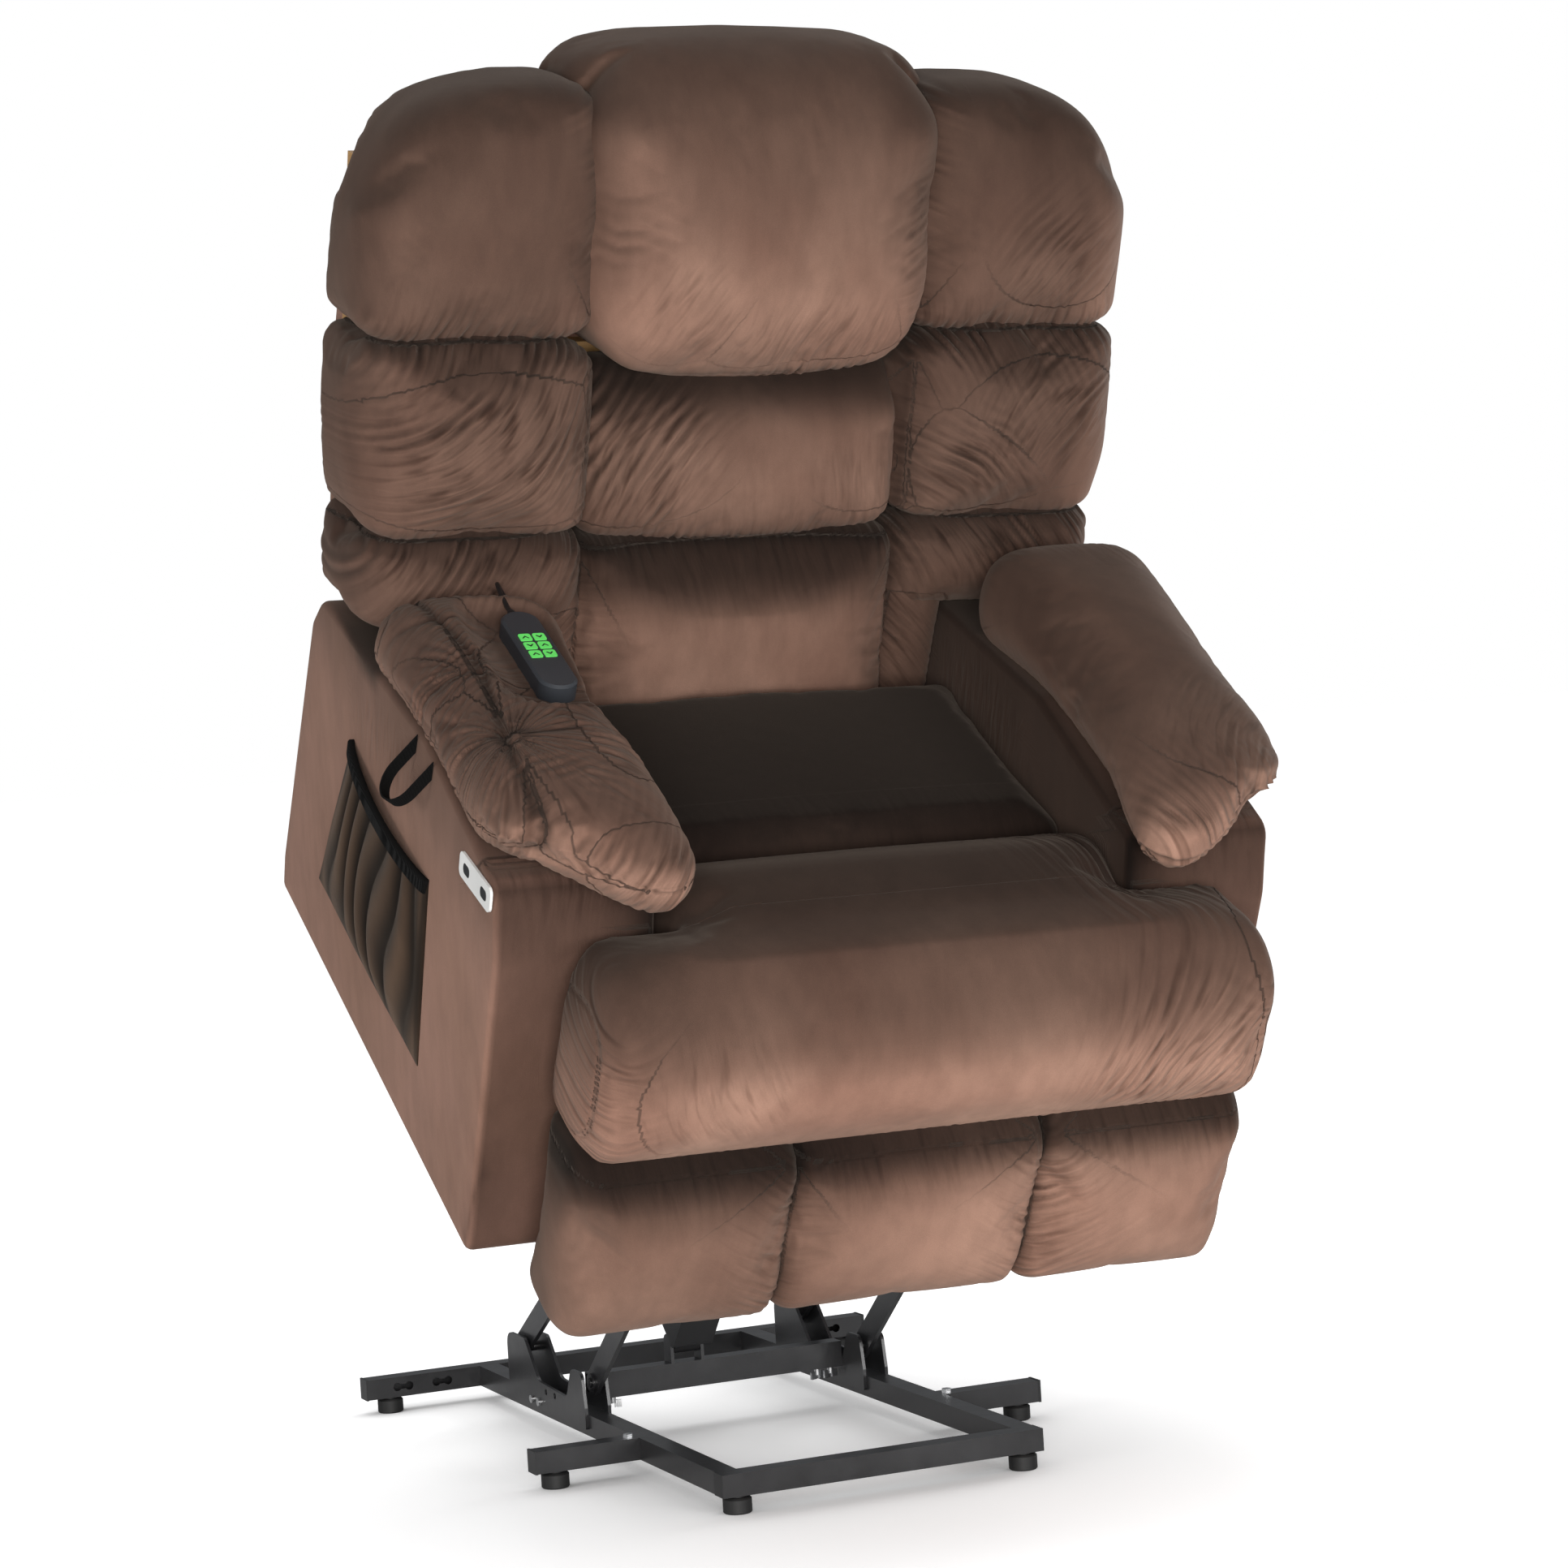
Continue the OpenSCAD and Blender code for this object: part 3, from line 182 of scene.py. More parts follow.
def empty_tree(owner):
    owner.use_nodes = True
    owner.node_tree.nodes.clear()
    return owner.node_tree


def make_world():
    """White where the camera looks and a weak cool fill everywhere else."""
    world = bpy.data.worlds.new("studio")
    bpy.context.scene.world = world
    t = empty_tree(world)
    path = add_node(t, "LightPath").outputs
    white = add_node(t, "Math", {0: path["Is Camera Ray"], 1: path["Is Transmission Ray"]},
                     operation="MAXIMUM")
    fill = add_node(t, "Background", {0: (0.93, 0.96, 1, 1), 1: 0.2})
    seen = add_node(t, "Background", {0: (1, 1, 1, 1)})
    mix = add_node(t, "MixShader", {0: white.outputs[0], 1: fill.outputs[0], 2: seen.outputs[0]})
    add_node(t, "OutputWorld", {0: mix.outputs[0]})


def make_floor():
    """A white floor that goes grey near the chair, with a painted shadow: its glow is darkened by occlusion under
    what stands close above it.
    """
    s = 30
    mesh = bpy.data.meshes.new("floor")
    mesh.from_pydata([(-s, -s, 0), (s, -s, 0), (s, s, 0), (-s, s, 0)], [], [(0, 1, 2, 3)])
    floor = place("floor", mesh)
    mat = bpy.data.materials.new("floor")
    t = empty_tree(mat)
    lit = add_node(t, "BsdfDiffuse", {0: (0.8, 0.8, 0.8, 1)})
    where = add_node(t, "TexCoord").outputs["Object"]
    reach = add_node(t, "VectorMath", {0: where}, operation="LENGTH").outputs["Value"]
    far = add_node(t, "MapRange", {0: reach, 1: 0.9, 2: 2.6, 3: 0.8, 4: 1.0},
                   interpolation_type="SMOOTHSTEP")
    # painted shadow: occlusion darkens the glow under and near the chair
    painted_contact_shadow = add_node(t, "AmbientOcclusion", {"Distance": 0.7}, samples=8)
    power = add_node(t, "Math", {0: painted_contact_shadow.outputs["AO"], 1: 1.3}, operation="POWER")
    level = add_node(t, "Math", {0: far.outputs[0], 1: power.outputs[0]}, operation="MULTIPLY")
    glow = add_node(t, "Emission", {1: level.outputs[0]})
    none = add_node(t, "Emission", {1: 0})
    to_camera = add_node(t, "LightPath").outputs["Is Camera Ray"]
    mix = add_node(t, "MixShader", {0: to_camera, 1: none.outputs[0], 2: glow.outputs[0]})
    add = add_node(t, "AddShader", {0: lit.outputs[0], 1: mix.outputs[0]})
    add_node(t, "OutputMaterial", {0: add.outputs[0]})
    mesh.materials.append(mat)


def make_lights():
    area_light("key", (-1.7, -4.4, 0.75), (0, 0, 0.95), (2.0, 1.3), 150, (1, 0.98, 0.96))
    area_light("front", (1.6, -4.2, 0.9), (0, 0, 0.9), (1.8, 1.2), 60)
    area_light("side", (-3.8, -0.6, 1.2), (0, 0, 0.8), (1.6, 1.6), 42)
    area_light("top", (0.2, 0.9, 3.6), (0, 0, 0.4), (2.4, 2.4), 26)
    area_light("rim", (3.2, 1.2, 1.6), (0, 0, 0.9), (1.4, 1.8), 40)


make_camera()
make_world()
make_floor()
make_lights()


# ---- materials
def material(name, colour, roughness, metallic=0.0, **sockets):
    """A new material with its Principled shader's own sockets set."""
    mat = bpy.data.materials.new(name)
    mat.use_nodes = True
    shader = mat.node_tree.nodes["Principled BSDF"]
    shader.inputs["Base Color"].default_value = (*colour, 1)
    shader.inputs["Roughness"].default_value = roughness
    shader.inputs["Metallic"].default_value = metallic
    for key, value in sockets.items():
        shader.inputs[key.replace("_", " ")].default_value = value
    return mat


class Nodes:
    """Short names for building a material's node tree. Textures are placed in object coordinates."""

    def __init__(self, mat):
        self.tree = mat.node_tree
        self.shader = self.tree.nodes["Principled BSDF"]
        self.coords = self.add("TexCoord").outputs
        self.where = self.coords["Object"]

    def add(self, kind, inputs=None, **settings):
        return add_node(self.tree, kind, inputs, **settings)

    def put(self, socket, value):
        """Links value to one of the shader's own sockets."""
        self.tree.links.new(value, self.shader.inputs[socket])

    def scaled(self, scale, turn=(0, 0, 0)):
        return self.add("Mapping", {"Vector": self.where, "Scale": scale, "Rotation": turn}).outputs[0]

    def noise(self, scale, detail=3.0, rough=0.55, at=None, distort=0.0):
        at = self.where if at is None else at
        return self.add("TexNoise", {"Vector": at, "Scale": scale, "Detail": detail, "Roughness": rough,
                                     "Distortion": distort}).outputs["Fac"]

    def ramp(self, value, stops):
        """A colour ramp; the colour of a stop is a number for a grey."""
        n = self.add("ValToRGB", {0: value})
        e = n.color_ramp.elements
        for k, (at, colour) in enumerate(stops):
            if k > 1:
                e.new(at)
            e[k].position = at
            e[k].color = (*colour, 1) if isinstance(colour, tuple) else (colour, colour, colour, 1)
        return n.outputs[0]

    def math(self, op, a, b):
        return self.add("Math", {0: a, 1: b, 2: 0.5}, operation=op).outputs[0]

    def mix(self, fac, a, b, kind="MIX"):
        a, b = ((*v, 1) if isinstance(v, tuple) else v for v in (a, b))
        return self.add("Mix", {0: fac, 6: a, 7: b}, data_type="RGBA", blend_type=kind).outputs[2]

    def bump(self, height, strength, distance, after=None):
        n = self.add("Bump", {"Height": height, "Strength": strength, "Distance": distance})
        if after is not None:
            self.tree.links.new(after, n.inputs["Normal"])
        return n.outputs[0]

    def attribute(self, name, output="Fac"):
        return self.add("Attribute", attribute_name=name).outputs[output]


def srgb(code):
    """#rrggbb to linear."""
    v = [int(code[i:i + 2], 16) / 255 for i in (1, 3, 5)]
    return tuple(c / 12.92 if c <= 0.04045 else ((c + 0.055) / 1.055) ** 2.4 for c in v)


FOLD_BUMP = 0.007      # metres


def plush(name, light, dark, shade):
    """Short-pile plush with a soft sheen and painted shade: what faces up is darker, by shade.
    The fine folds follow the piece's own fold coordinates, with painted shade in their valleys, and its dark
    attribute is painted shade."""
    mat = material(name, light, 0.86, Sheen_Weight=0.12, Sheen_Roughness=0.5,
                   Sheen_Tint=(0.9, 0.74, 0.62, 1), Specular_IOR_Level=0.12)
    n = Nodes(mat)
    clouds = n.noise(5.0, 3.0, 0.5, distort=0.4)
    brushed = n.noise(38.0, 3.0, 0.55, at=n.scaled((1, 1, 0.35), (0.3, 0.2, 0.6)))
    fibres = n.noise(1100.0, 2.0, 0.6)
    tone = n.ramp(clouds, [(0.3, dark), (0.65, light)])
    tone = n.mix(0.55, tone, n.ramp(brushed, [(0.35, 0.82), (0.65, 1.08)]), "MULTIPLY")
    tone = n.mix(0.5, tone, n.ramp(fibres, [(0.3, 0.8), (0.7, 1.1)]), "MULTIPLY")
    # painted shade: faces that point up are darker, by shade
    up = n.add("SeparateXYZ", {0: n.coords["Normal"]}).outputs[2]
    painted_top_shade = n.ramp(n.math("MULTIPLY_ADD", up, 0.5),
                      [(0.30, 1.0), (0.62, 1 - shade), (0.95, 1 - 1.4 * shade)])
    tone = n.mix(1.0, tone, painted_top_shade, "MULTIPLY")
    folds = n.noise(1.0, 1.0, 0.5, at=n.attribute("fold", "Vector"))
    strength = n.attribute("fold_size")
    # painted shade in the fine folds' valleys
    painted_fold_shade = n.math("MULTIPLY", n.ramp(folds, [(0.30, 1.0), (0.48, 0.0)]), strength)
    tone = n.mix(painted_fold_shade, tone, (0.42, 0.38, 0.36), "MULTIPLY")
    # painted shade from the dark attribute that finish_soft sets at each vertex
    tone = n.mix(1.0, tone, n.math("SUBTRACT", 1.0, n.attribute("dark")), "MULTIPLY")
    n.put("Base Color", tone)
    b = n.bump(n.math("MULTIPLY", folds, strength), 1.0, FOLD_BUMP)
    b = n.bump(brushed, 0.2, 0.0012, b)
    b = n.bump(fibres, 0.45, 0.0005, b)
    n.put("Normal", b)
    return mat


PLUSH = plush("plush", srgb("#a07d6c"), srgb("#8a6859"), 0.5)
PANEL = plush("panel_cloth", srgb("#987465"), srgb("#8c6a5a"), 0.4)


def steel():
    """Black powder coat, a little worn."""
    mat = material("powder_coat", (0.012, 0.012, 0.013), 0.34, Coat_Weight=0.25, Coat_Roughness=0.2)
    n = Nodes(mat)
    grain = n.noise(420.0, 2.0)
    wear = n.noise(9.0, 5.0, 0.65)
    n.put("Base Color", n.ramp(wear, [(0.35, (0.010, 0.010, 0.011)), (0.75, (0.022, 0.022, 0.024))]))
    n.put("Roughness", n.ramp(wear, [(0.3, 0.28), (0.8, 0.46)]))
    n.put("Normal", n.bump(grain, 0.18, 0.0004))
    return mat


def zinc():
    """Brushed zinc plate."""
    mat = material("zinc", (0.62, 0.63, 0.65), 0.3, 1.0)
    n = Nodes(mat)
    brushed = n.noise(60.0, 3.0, 0.6, at=n.scaled((8, 8, 0.6)))
    n.put("Roughness", n.ramp(brushed, [(0.3, 0.22), (0.7, 0.42)]))
    n.put("Base Color", n.ramp(n.noise(14.0), [(0.3, (0.48, 0.49, 0.5)), (0.7, (0.68, 0.69, 0.7))]))
    n.put("Normal", n.bump(brushed, 0.1, 0.0003))
    return mat


def timber():
    """Plain sawn timber, its grain along X."""
    mat = material("timber", (0.6, 0.42, 0.25), 0.62)
    n = Nodes(mat)
    grain = n.noise(9.0, 4.0, 0.5, at=n.scaled((0.3, 3.0, 3.0)), distort=0.25)
    pores = n.noise(260.0, 2.0, 0.6, at=n.scaled((0.2, 1, 1)))
    tone = n.ramp(grain, [(0.3, srgb("#a88355")), (0.5, srgb("#b88f5b")), (0.75, srgb("#c6a06c"))])
    pored = n.ramp(pores, [(0.35, (0.5, 0.42, 0.34)), (0.6, 1.0)])
    n.put("Base Color", n.mix(0.25, tone, pored, "MULTIPLY"))
    n.put("Normal", n.bump(pores, 0.25, 0.0005))
    return mat


def plastic(name, colour, roughness, grain_scale=700.0, grain=0.2, **sockets):
    """Moulded plastic or rubber with a fine grain."""
    mat = material(name, colour, roughness, **sockets)
    n = Nodes(mat)
    low = tuple(c * 0.86 for c in colour)
    n.put("Base Color", n.ramp(n.noise(11.0, 3.0), [(0.3, low), (0.7, colour)]))
    n.put("Normal", n.bump(n.noise(grain_scale, 2.0), grain, 0.0003))
    return mat


def webbing():
    """Black woven tape."""
    mat = material("webbing", (0.006, 0.006, 0.006), 0.85, Specular_IOR_Level=0.08)
    n = Nodes(mat)
    rows = n.add("TexWave", {"Vector": n.where, "Scale": 260, "Distortion": 1.5}).outputs["Fac"]
    n.put("Base Color", n.ramp(rows, [(0.2, (0.002, 0.002, 0.002)), (0.9, (0.012, 0.012, 0.012))]))
    n.put("Normal", n.bump(rows, 0.5, 0.0005))
    return mat


STEEL, ZINC, TIMBER, WEBBING = steel(), zinc(), timber(), webbing()
BLACK = plastic("black_plastic", (0.014, 0.014, 0.015), 0.42)
RUBBER = plastic("foot_rubber", (0.008, 0.008, 0.008), 0.6, 300.0, 0.3)
CORD = plastic("cord_jacket", (0.010, 0.010, 0.011), 0.36, 120.0, 0.1)
CHARCOAL = plastic("charcoal_plastic", srgb("#34373c"), 0.46, 1200.0, 0.25)
WHITE = plastic("white_plastic", (0.82, 0.82, 0.8), 0.3)
# the keys glow a little green: a painted glow, as they are no lamp
KEYS_WITH_PAINTED_GLOW = plastic("key_rubber", srgb("#63d35d"), 0.4, 500.0, 0.1, Emission_Color=(0.12, 0.75, 0.16, 1),
               Emission_Strength=0.35)
POCKET = plush("pocket_cloth", srgb("#66503f"), srgb("#48372b"), 0.3)

FINISH = {
    "black_steel": STEEL, "zinc_steel": ZINC, "timber": TIMBER, "black_plastic": BLACK,
    "foot_rubber": RUBBER, "cord_pvc": CORD, "charcoal_plastic": CHARCOAL, "key_rubber": KEYS_WITH_PAINTED_GLOW,
    "white_plastic": WHITE, "socket_plastic": BLACK, "webbing": WEBBING, "plush": PLUSH,
    "panel_cloth": PANEL, "pocket_cloth": POCKET,
}
for part in frame["record"]["subparts"]:
    node = frame["nodes"][part["node"]]
    node.data.materials.clear()
    node.data.materials.append(FINISH[part["material_slot"]])


# ---- building soft pieces
def new_object(name, verts, faces, mat):
    mesh = bpy.data.meshes.new(name)
    mesh.from_pydata([tuple(v) for v in verts], [], [tuple(f) for f in faces])
    mesh.validate()
    mesh.materials.append(mat)
    return place(name, mesh)


def points_of(mesh, field="co"):
    values = np.empty(len(mesh.vertices) * 3)
    mesh.vertices.foreach_get(field, values)
    return values.reshape(-1, 3)


def get_points(obj):
    return points_of(obj.data)


def set_points(obj, co):
    obj.data.vertices.foreach_set("co", np.asarray(co, float).ravel())
    obj.data.update()


def evaluated(obj):
    """A new mesh with obj's modifiers applied."""
    return bpy.data.meshes.new_from_object(obj.evaluated_get(bpy.context.evaluated_depsgraph_get()))


def use_modifier(obj, kind, **settings):
    """Applies a new modifier to obj."""
    m = obj.modifiers.new(kind.lower(), kind)
    for k, v in settings.items():
        setattr(m, k, v)
    old, obj.data = obj.data, evaluated(obj)
    obj.modifiers.clear()
    bpy.data.meshes.remove(old)
    return obj


def join(objects, name):
    for o in bpy.context.selected_objects:
        o.select_set(False)
    for o in objects:
        o.select_set(True)
    bpy.context.view_layer.objects.active = objects[0]
    bpy.ops.object.join()
    objects[0].name = name
    objects[0].select_set(False)
    return objects[0]


def loft(sections):
    """A closed tube of faces through rings of equal length; the first and last rings are filled."""
    n, m = len(sections), len(sections[0])
    verts = np.concatenate(sections)
    faces = [(i * m + k, i * m + (k + 1) % m, (i + 1) * m + (k + 1) % m, (i + 1) * m + k)
             for i in range(n - 1) for k in range(m)]
    faces.append(tuple(range(m))[::-1])
    faces.append(tuple((n - 1) * m + k for k in range(m)))
    return verts, faces


GRID = 10.0        # millimetres between a block's points


def block(lo, hi, radius):
    """x, y, z and faces of a closed box with rounded edges, in even steps; radius has a value per axis."""
    lo, hi, radius = (np.asarray(v, float) for v in (lo, hi, radius))
    count = np.maximum(2, np.ceil((hi - lo) / GRID)).astype(int)
    index, verts, faces = {}, [], []

    def vertex(key):
        if key not in index:
            index[key] = len(verts)
            verts.append(lo + (hi - lo) * np.array(key) / count)
        return index[key]

    for a in range(3):
        b, c = (a + 1) % 3, (a + 2) % 3
        for end in (0, count[a]):
            for i in range(count[b]):
                for j in range(count[c]):
                    ring = []
                    for di, dj in ((0, 0), (1, 0), (1, 1), (0, 1)):
                        key = [0, 0, 0]
                        key[a], key[b], key[c] = end, i + di, j + dj
                        ring.append(vertex(tuple(int(k) for k in key)))
                    faces.append(ring if end else ring[::-1])
    p = np.array(verts)
    inner = np.clip(p, lo + radius, hi - radius)
    d = (p - inner) / radius
    p = inner + radius * d / np.maximum(np.linalg.norm(d, axis=1, keepdims=True), 1e-9)
    return *p.T.copy(), faces


def mirrored(faces, side):
    """Faces that still face outward when x is multiplied by side."""
    return faces if side > 0 else [f[::-1] for f in faces]


def bell(t):
    """1 in the middle of -1..1 and 0 at its ends."""
    return np.clip(1 - t * t, 0, None)


VOXEL, FRAMES = 0.006, 16      # metres between a soft piece's points, and the length of its simulation
CLOTH = {"quality": 4, "mass": 0.3, "tension_stiffness": 12, "compression_stiffness": 12,
         "shear_stiffness": 6, "bending_stiffness": 0.4, "use_pressure": True, "uniform_pressure_force": 4.0}


def puff(obj, cap):
    """Remeshes obj evenly and lets a pressurised cloth take its shape; no point moves by more than cap."""
    use_modifier(obj, "REMESH", mode="VOXEL", voxel_size=VOXEL)
    start = get_points(obj)
    scene = bpy.context.scene
    m = obj.modifiers.new("cloth", "CLOTH")
    for key, value in CLOTH.items():
        setattr(m.settings, key, value)
    m.settings.effector_weights.gravity = 0
    m.collision_settings.use_collision = False
    m.collision_settings.use_self_collision = False
    for f in range(1, FRAMES + 1):
        scene.frame_set(f)
    mesh = evaluated(obj)
    moved = points_of(mesh) - start
    length = np.linalg.norm(moved, axis=1, keepdims=True)
    moved *= np.minimum(1, cap / np.maximum(length, 1e-9))
    obj.modifiers.clear()
    bpy.data.meshes.remove(mesh)
    set_points(obj, start + moved)
    scene.frame_set(1)
    use_modifier(obj, "SMOOTH", factor=0.5, iterations=2)
    return obj


def soft(name, axes, faces, cap, to_chair=None):
    """A closed plush shell puffed up by at most cap. Its coordinates, one list for each axis, are chair
    millimetres, or to_chair makes them so."""
    p = np.stack(axes, 1)
    return puff(new_object(name, chair(to_chair(p) if to_chair else p), faces, PLUSH), cap / 1000)


# Folds. A zone is (across, along, size): millimetres across the folds, along them, and how strong they are.
def from_seam(along, off, reach, lean=0.0, size=1.0, start=2.0):
    """Folds that run away from a seam."""
    return along + lean * off, off, size * near(off, reach) * smooth(np.abs(off) / start)


def from_point(a, b, centre, reach, span=100.0, size=1.0, inner=14.0):
    """Folds that fan out from a point; span is the radius at which their pitch is true."""
    da, db = a - centre[0], b - centre[1]
    r = np.hypot(da, db)
    return np.arctan2(db, da) * span, r, size * smooth(r / inner) * np.exp(-(r / reach) ** 1.4)


def patch(a, b, centre, radii, angle, size=1.0, curve=0.0):
    """A patch of parallel folds that run at an angle, bowed by curve."""
    c, s = math.cos(math.radians(angle)), math.sin(math.radians(angle))
    da, db = a - centre[0], b - centre[1]
    run, cross = da * c + db * s, -da * s + db * c
    d = (da / radii[0]) ** 2 + (db / radii[1]) ** 2
    return cross + curve * run * run / 100, run, size * np.exp(-d ** 1.5)


def ridges(across, along, pitch, seed):
    """Long soft ridges from -1 to 1 that wander, break up and fade."""
    flat = across * 0 + seed
    wander = noise(np.stack([across / 60, along / 45, flat], 1), seed + 3)
    wave = np.cos(2 * math.pi * (across / pitch + 0.4 * wander))
    broken = np.stack([across / (1.4 * pitch), along / (4 * pitch), flat], 1)
    broken = smooth(0.55 + 1.1 * noise(broken, seed))
    fade = 0.4 + 0.6 * smooth(0.5 + 0.9 * noise(np.stack([across / 38, along / 60, flat], 1), seed + 7))
    return wave * broken * fade


PITCH, FINE = 14.0, 9.0        # millimetres between modelled folds and between the material's folds


def finish_soft(obj, body, node, zones=None, local=unchair, crease_shade=None, tone=None,
                height=3.0, subdivide=True, groove=None):
    """One subdivision, the folds, the painted shade at each vertex, and the piece's place in the model.
    zones, crease, tone and groove are functions of points in the frame that local names; crease and tone give
    painted shade."""
    if subdivide:
        use_modifier(obj, "SUBSURF", levels=1)
    p = get_points(obj)
    q = unchair(p) if local is unchair else unback(unchair(p))
    best = np.zeros(len(p))
    fold = np.zeros((len(p), 3))
    lift = np.zeros(len(p))
    for k, (across, along, size) in enumerate(zones(q) if zones else []):
        size = np.clip(size, 0, 1.5)
        at = np.flatnonzero(size > 0.02)
        a, b, s = across[at], along[at], size[at]
        lift[at] += height * s * ridges(a, b, PITCH, 11 * k + 5)
        bend = 4 * noise(np.stack([a / 40, b / 55, a * 0 + k], 1), k)
        here = np.stack([(a + bend) / FINE, b / (FINE * 6), np.full(len(a), 3.0 * k)], 1)
        pick = s > best[at]
        fold[at[pick]] = here[pick]
        best[at] = np.maximum(best[at], s)
    if groove is not None:
        lift -= groove(q)
    if zones or groove is not None:
        set_points(obj, p + points_of(obj.data, "normal") * (lift / 1000)[:, None])
    # painted shade: darker in the modelled folds' valleys, along seams by crease and over the piece by tone; kept
    # as the dark attribute
    light = 1 - 0.55 * np.clip(-lift / 4.0, 0, 1)
    if crease_shade is not None:
        light = light * (1 - 0.9 * np.clip(crease_shade(q), 0, 1))
    if tone is not None:
        light = light * tone(q)
    for name, kind, field, values in (("dark", "FLOAT", "value", 1 - light),
                                      ("fold_size", "FLOAT", "value", np.clip(best, 0, 1)),
                                      ("fold", "FLOAT_VECTOR", "vector", fold.ravel())):
        obj.data.attributes.new(name, kind, "POINT").data.foreach_set(field, values.astype(np.float32))
    for poly in obj.data.polygons:
        poly.use_smooth = True
    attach(obj, body)
    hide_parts(node)
    return obj


def node_points(name):
    return get_points(frame["nodes"][name])


# ---- backrest
# Heights are u up the rake, from the arm line.
BACK_TOP = unback(unchair(node_points("back_panel")))[:, 2].max() - 2
WING_TOP = BACK_TOP - 18
SEAMS = (104.0, 332.0)         # between a wing's three sections
PILLOW_FOOT = 285.0
LUMBAR_FOOT = 92.0
COLUMN = 199.0                 # half width of the column between the wings
REAR = 131.0                   # v where the back's soft pieces meet its rear cover


def wing(side):
    """Three stuffed sections, sewn one above the other, and the corner between the arm and the cushion."""
    name = "left" if side > 0 else "right"
    parts = []
    for k, (lo_u, hi_u, front, outer) in enumerate((
            (-16.0, SEAMS[0] + 5, -44.0, 470.0), (SEAMS[0] - 5, SEAMS[1] + 6, -48.0, 481.0),
            (SEAMS[1] - 6, WING_TOP + 8, -42.0, 480.0))):
        tall = (hi_u - lo_u) / 2
        x, v, u, faces = block((COLUMN - 8, front, lo_u), (outer, REAR + 60, hi_u), (54, 66, (24, 27, 34)[k]))
        v = np.minimum(v, REAR)
        s = (x - 338) / 134
        t = (u - (lo_u + hi_u) / 2) / tall
        if k == 2:
            lift = step(u, 440, WING_TOP)
            reach = np.clip((x - 340) / 141, 0, 1)
            u -= 112 * (1 - np.sqrt(1 - 0.96 * reach ** 2)) * lift + 8 * step(x, 260, 380) * lift
            x -= 16 * lift ** 2 * step(x, 250, 474)
            v += 22 * lift ** 2 * (v < 60)
        if k == 0:
            v += 14 * step(u, 60, -10) * (v < 60)
            u += 0.11 * (v + 40)
        if k == 1:
            x -= 14 * step(u, 190, 100) * step(x, 380, 470)
        u -= 10 * step(x, 300, 210) * smooth((u - lo_u) / 60) * (k < 2)
        v -= 17 * bell(s) * bell(t) * (v < 60)
        parts.append(((x * side, v, u), mirrored(faces, side), 20))
    x, v, u, faces = block((190, -30, -160), (281, 60, 44), (30, 34, 34))
    v += 0.18 * (40 - u)
    parts.append(((x * side, v, u), mirrored(faces, side), 6))
    obj = join([soft(f"{name}_wing_{k}", v, f, cap, back) for k, (v, f, cap) in enumerate(parts)],
               f"{name}_wing_pad")

    def zones(q):
        x, u = q[:, 0] * side, q[:, 2]
        top, mid, low = u > SEAMS[1], (u <= SEAMS[1]) & (u > SEAMS[0]), u <= SEAMS[0]
        out = [
            from_seam(x, (u - SEAMS[1]) * top, 26, 0.2, 1.2),
            from_seam(x, (u - SEAMS[1]) * mid, 34, 0.5, 1.2),
            from_seam(x, (u - SEAMS[0]) * low, 60, 0.6, 1.3),
            from_seam(x, (u - SEAMS[0]) * mid, 16, 0.2, 0.7),
            from_seam(u, (x - 206) * (u > 40), 16, 0.3, 0.5),
            from_seam(u + 0.5 * x, (x - 200) * (u < 10), 60, 0.5, 0.8),
        ]
        if side < 0:
            return out + [patch(x, u, (330, 215), (130, 95), 140, 1.1, 0.25)]
        return out + [patch(x, u, (370, 245), (90, 75), 48, 0.9, 0.25),
                      patch(x, u, (280, 170), (80, 60), 142, 0.9, -0.2),
                      patch(x, u, (370, 420), (70, 70), 50, 0.7, 0.15)]

    # painted shade: dark lines along the two seams and along the edge by the column
    def crease_shade(q):
        u = q[:, 2]
        off = np.minimum(np.abs(u - SEAMS[0]), np.abs(u - SEAMS[1]))
        return 0.7 * near(off, 3.5) + 0.5 * near(np.abs(q[:, 0]) - 201, 9)

    # painted light and shade: the wing darkened to about half, each section a little darker towards its top; the
    # left wing lighter low near its outer edge, the right wing's top section darker low down and lighter low by
    # the column
    def tone(q):
        x, u = np.abs(q[:, 0]), q[:, 2]
        section = np.where(u > SEAMS[1], (u - SEAMS[1]) / 260,
                           np.where(u > SEAMS[0], (u - SEAMS[0]) / 228, (u + 40) / 144))
        out = 0.48 - 0.06 * smooth(section * 1.3 - 0.15)
        if side > 0:
            return out - 0.06 + 0.42 * step(x, 380, 475) * smooth(1.1 - section)
        return (out - 0.13 * (u > SEAMS[1]) * smooth(1.3 - 1.3 * section)
                + 0.3 * step(x, 280, 210) * smooth(0.6 - section))

    return finish_soft(obj, "backrest", f"{name}_wing", zones, unback, crease_shade, tone)


